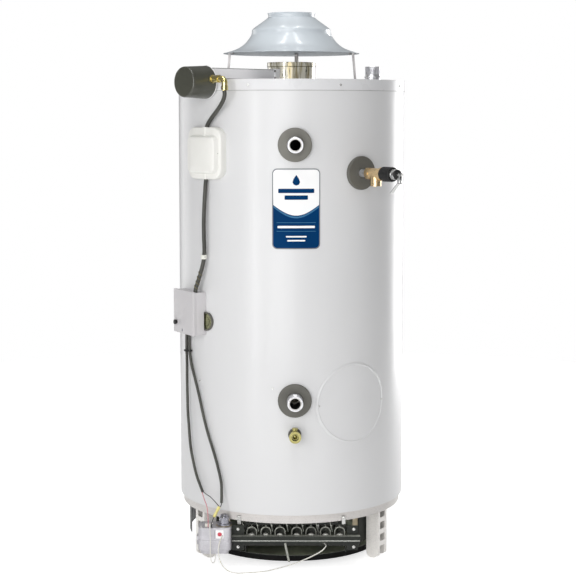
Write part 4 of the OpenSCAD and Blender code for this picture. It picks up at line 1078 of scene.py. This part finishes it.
def gas_valve_details():
    """Cover screws, a plain sticker with a red spot, a terminal block and the knob's ring."""
    heads = []
    for x, y in ((-275, -335), (-275, -275), (-195, -275), (-244, -290)):
        heads += screw(upright(x, y, 140), 3.6, 3)
    piece("valve_screws", heads, "screw", sharp=25)
    ring = lathe([(16.5, 0), (24, 0), (25, 0.8), (25, 1.6), (24, 2.1), (16.5, 2.1)], 48,
                 closed=True)
    piece("knob_ring", [placed(ring, upright(-207, -310, 140))], "brown_zinc")
    face = upright(-219, -345, 121) @ turned(90, "X")
    sticker = loft([level(rounded_outline(24, 26, 2, 3), z) for z in (0, 0.3)])
    spot = loft([level(rounded_outline(13, 12, 5.5, 5), z) for z in (0.2, 0.5)])
    piece("valve_sticker", [placed(sticker, face)], "label_white")
    piece("valve_spot", [placed(spot, face)], "label_red")
    block = placed(box_shape((-9, 9), (-7, 7), (0, 9), 1), upright(-256, -322, 139.8))
    piece("terminal_block", [block], "white_wire")


# ---- Studio ----

AMBIENT = 0.20
AIM_Z, FLOOR_R = 0.9, 4.0    # metres, as the lights' places and sizes
FLOOR_SEEN, FLOOR_GLOW = 0.72, 0.30


def area_light(name, az, distance, z, w, h, power):
    """A soft light at an azimuth and distance, turned to the middle of the heater."""
    data = bpy.data.lights.new(name, "AREA")
    data.shape = "RECTANGLE"
    data.size, data.size_y = w, h
    data.energy = power
    light = linked(name, data)
    light.location = (distance * sin(radians(az)), -distance * cos(radians(az)), z)
    aim = Vector((0, 0, AIM_Z)) - light.location
    light.rotation_euler = aim.to_track_quat("-Z", "Y").to_euler()
    return light


def studio():
    """A pale floor, a white surround and soft lights.

    A broad fill and a narrow highlight stand at the front left, one light behind each side, and
    two strips hang overhead.
    """
    world = bpy.data.worlds.new("surround")
    bpy.context.scene.world = world
    world.use_nodes = True
    tree = world.node_tree
    lit_and_seen = [tree.nodes["Background"], tree.nodes.new("ShaderNodeBackground")]
    blend = tree.nodes.new("ShaderNodeMixShader")
    for k, strength in enumerate((AMBIENT, 1.0)):
        lit_and_seen[k].inputs["Color"].default_value = (1, 1, 1, 1)
        lit_and_seen[k].inputs["Strength"].default_value = strength
        tree.links.new(lit_and_seen[k].outputs["Background"], blend.inputs[1 + k])
    ray = tree.nodes.new("ShaderNodeLightPath")
    tree.links.new(ray.outputs["Is Camera Ray"], blend.inputs["Fac"])
    tree.links.new(blend.outputs["Shader"], tree.nodes["World Output"].inputs["Surface"])
    g = Graph("floor", Specular_IOR_Level=0.1, Emission_Color=(1, 1, 1))
    camera_ray = g.add("LightPath", output="Is Camera Ray")
    g.set(g.shader, "Emission Strength", g.remap(camera_ray, 0, 1, FLOOR_GLOW, FLOOR_SEEN))
    shade = g.noise(1.5, 2, 0.5)
    g.finish(g.mix(shade, (0.84, 0.84, 0.84), (0.87, 0.87, 0.87)), g.remap(shade, 0, 1, 0.7, 0.8))
    mesh = bpy.data.meshes.new("floor")
    mesh.from_pydata(circle(FLOOR_R, n=96), [], [tuple(range(96))])
    mesh.materials.append(g.material)
    linked("floor", mesh)
    area_light("front_fill", -10, 4.6, 1.5, 2.0, 3.0, 82)
    area_light("highlight", -35, 4.2, 1.2, 0.22, 3.4, 46)
    area_light("left_rim", -135, 3.6, 1.3, 1.6, 3.0, 22)
    area_light("right_rim", 136, 3.6, 1.3, 1.8, 3.0, 112)
    for x in (-0.42, 0.36):
        strip = area_light("ceiling", 0, 1.2, 3.9, 0.14, 3.6, 26)
        strip.location.x = x
        strip.rotation_euler = (0, 0, 0)
    bpy.context.scene.view_settings.view_transform = "Standard"


camera()
igniter_lead()
finish_cad_nodes()
draft_hood()
collar_details()
pipe_fittings()
valve_details()
relief_spring()
escutcheons()
cleanout_cover()
junction_cover()
control_box_cover()
label()
wiring()
ties()
fasteners()
back_seam()
burner_details()
gas_valve_details()
studio()
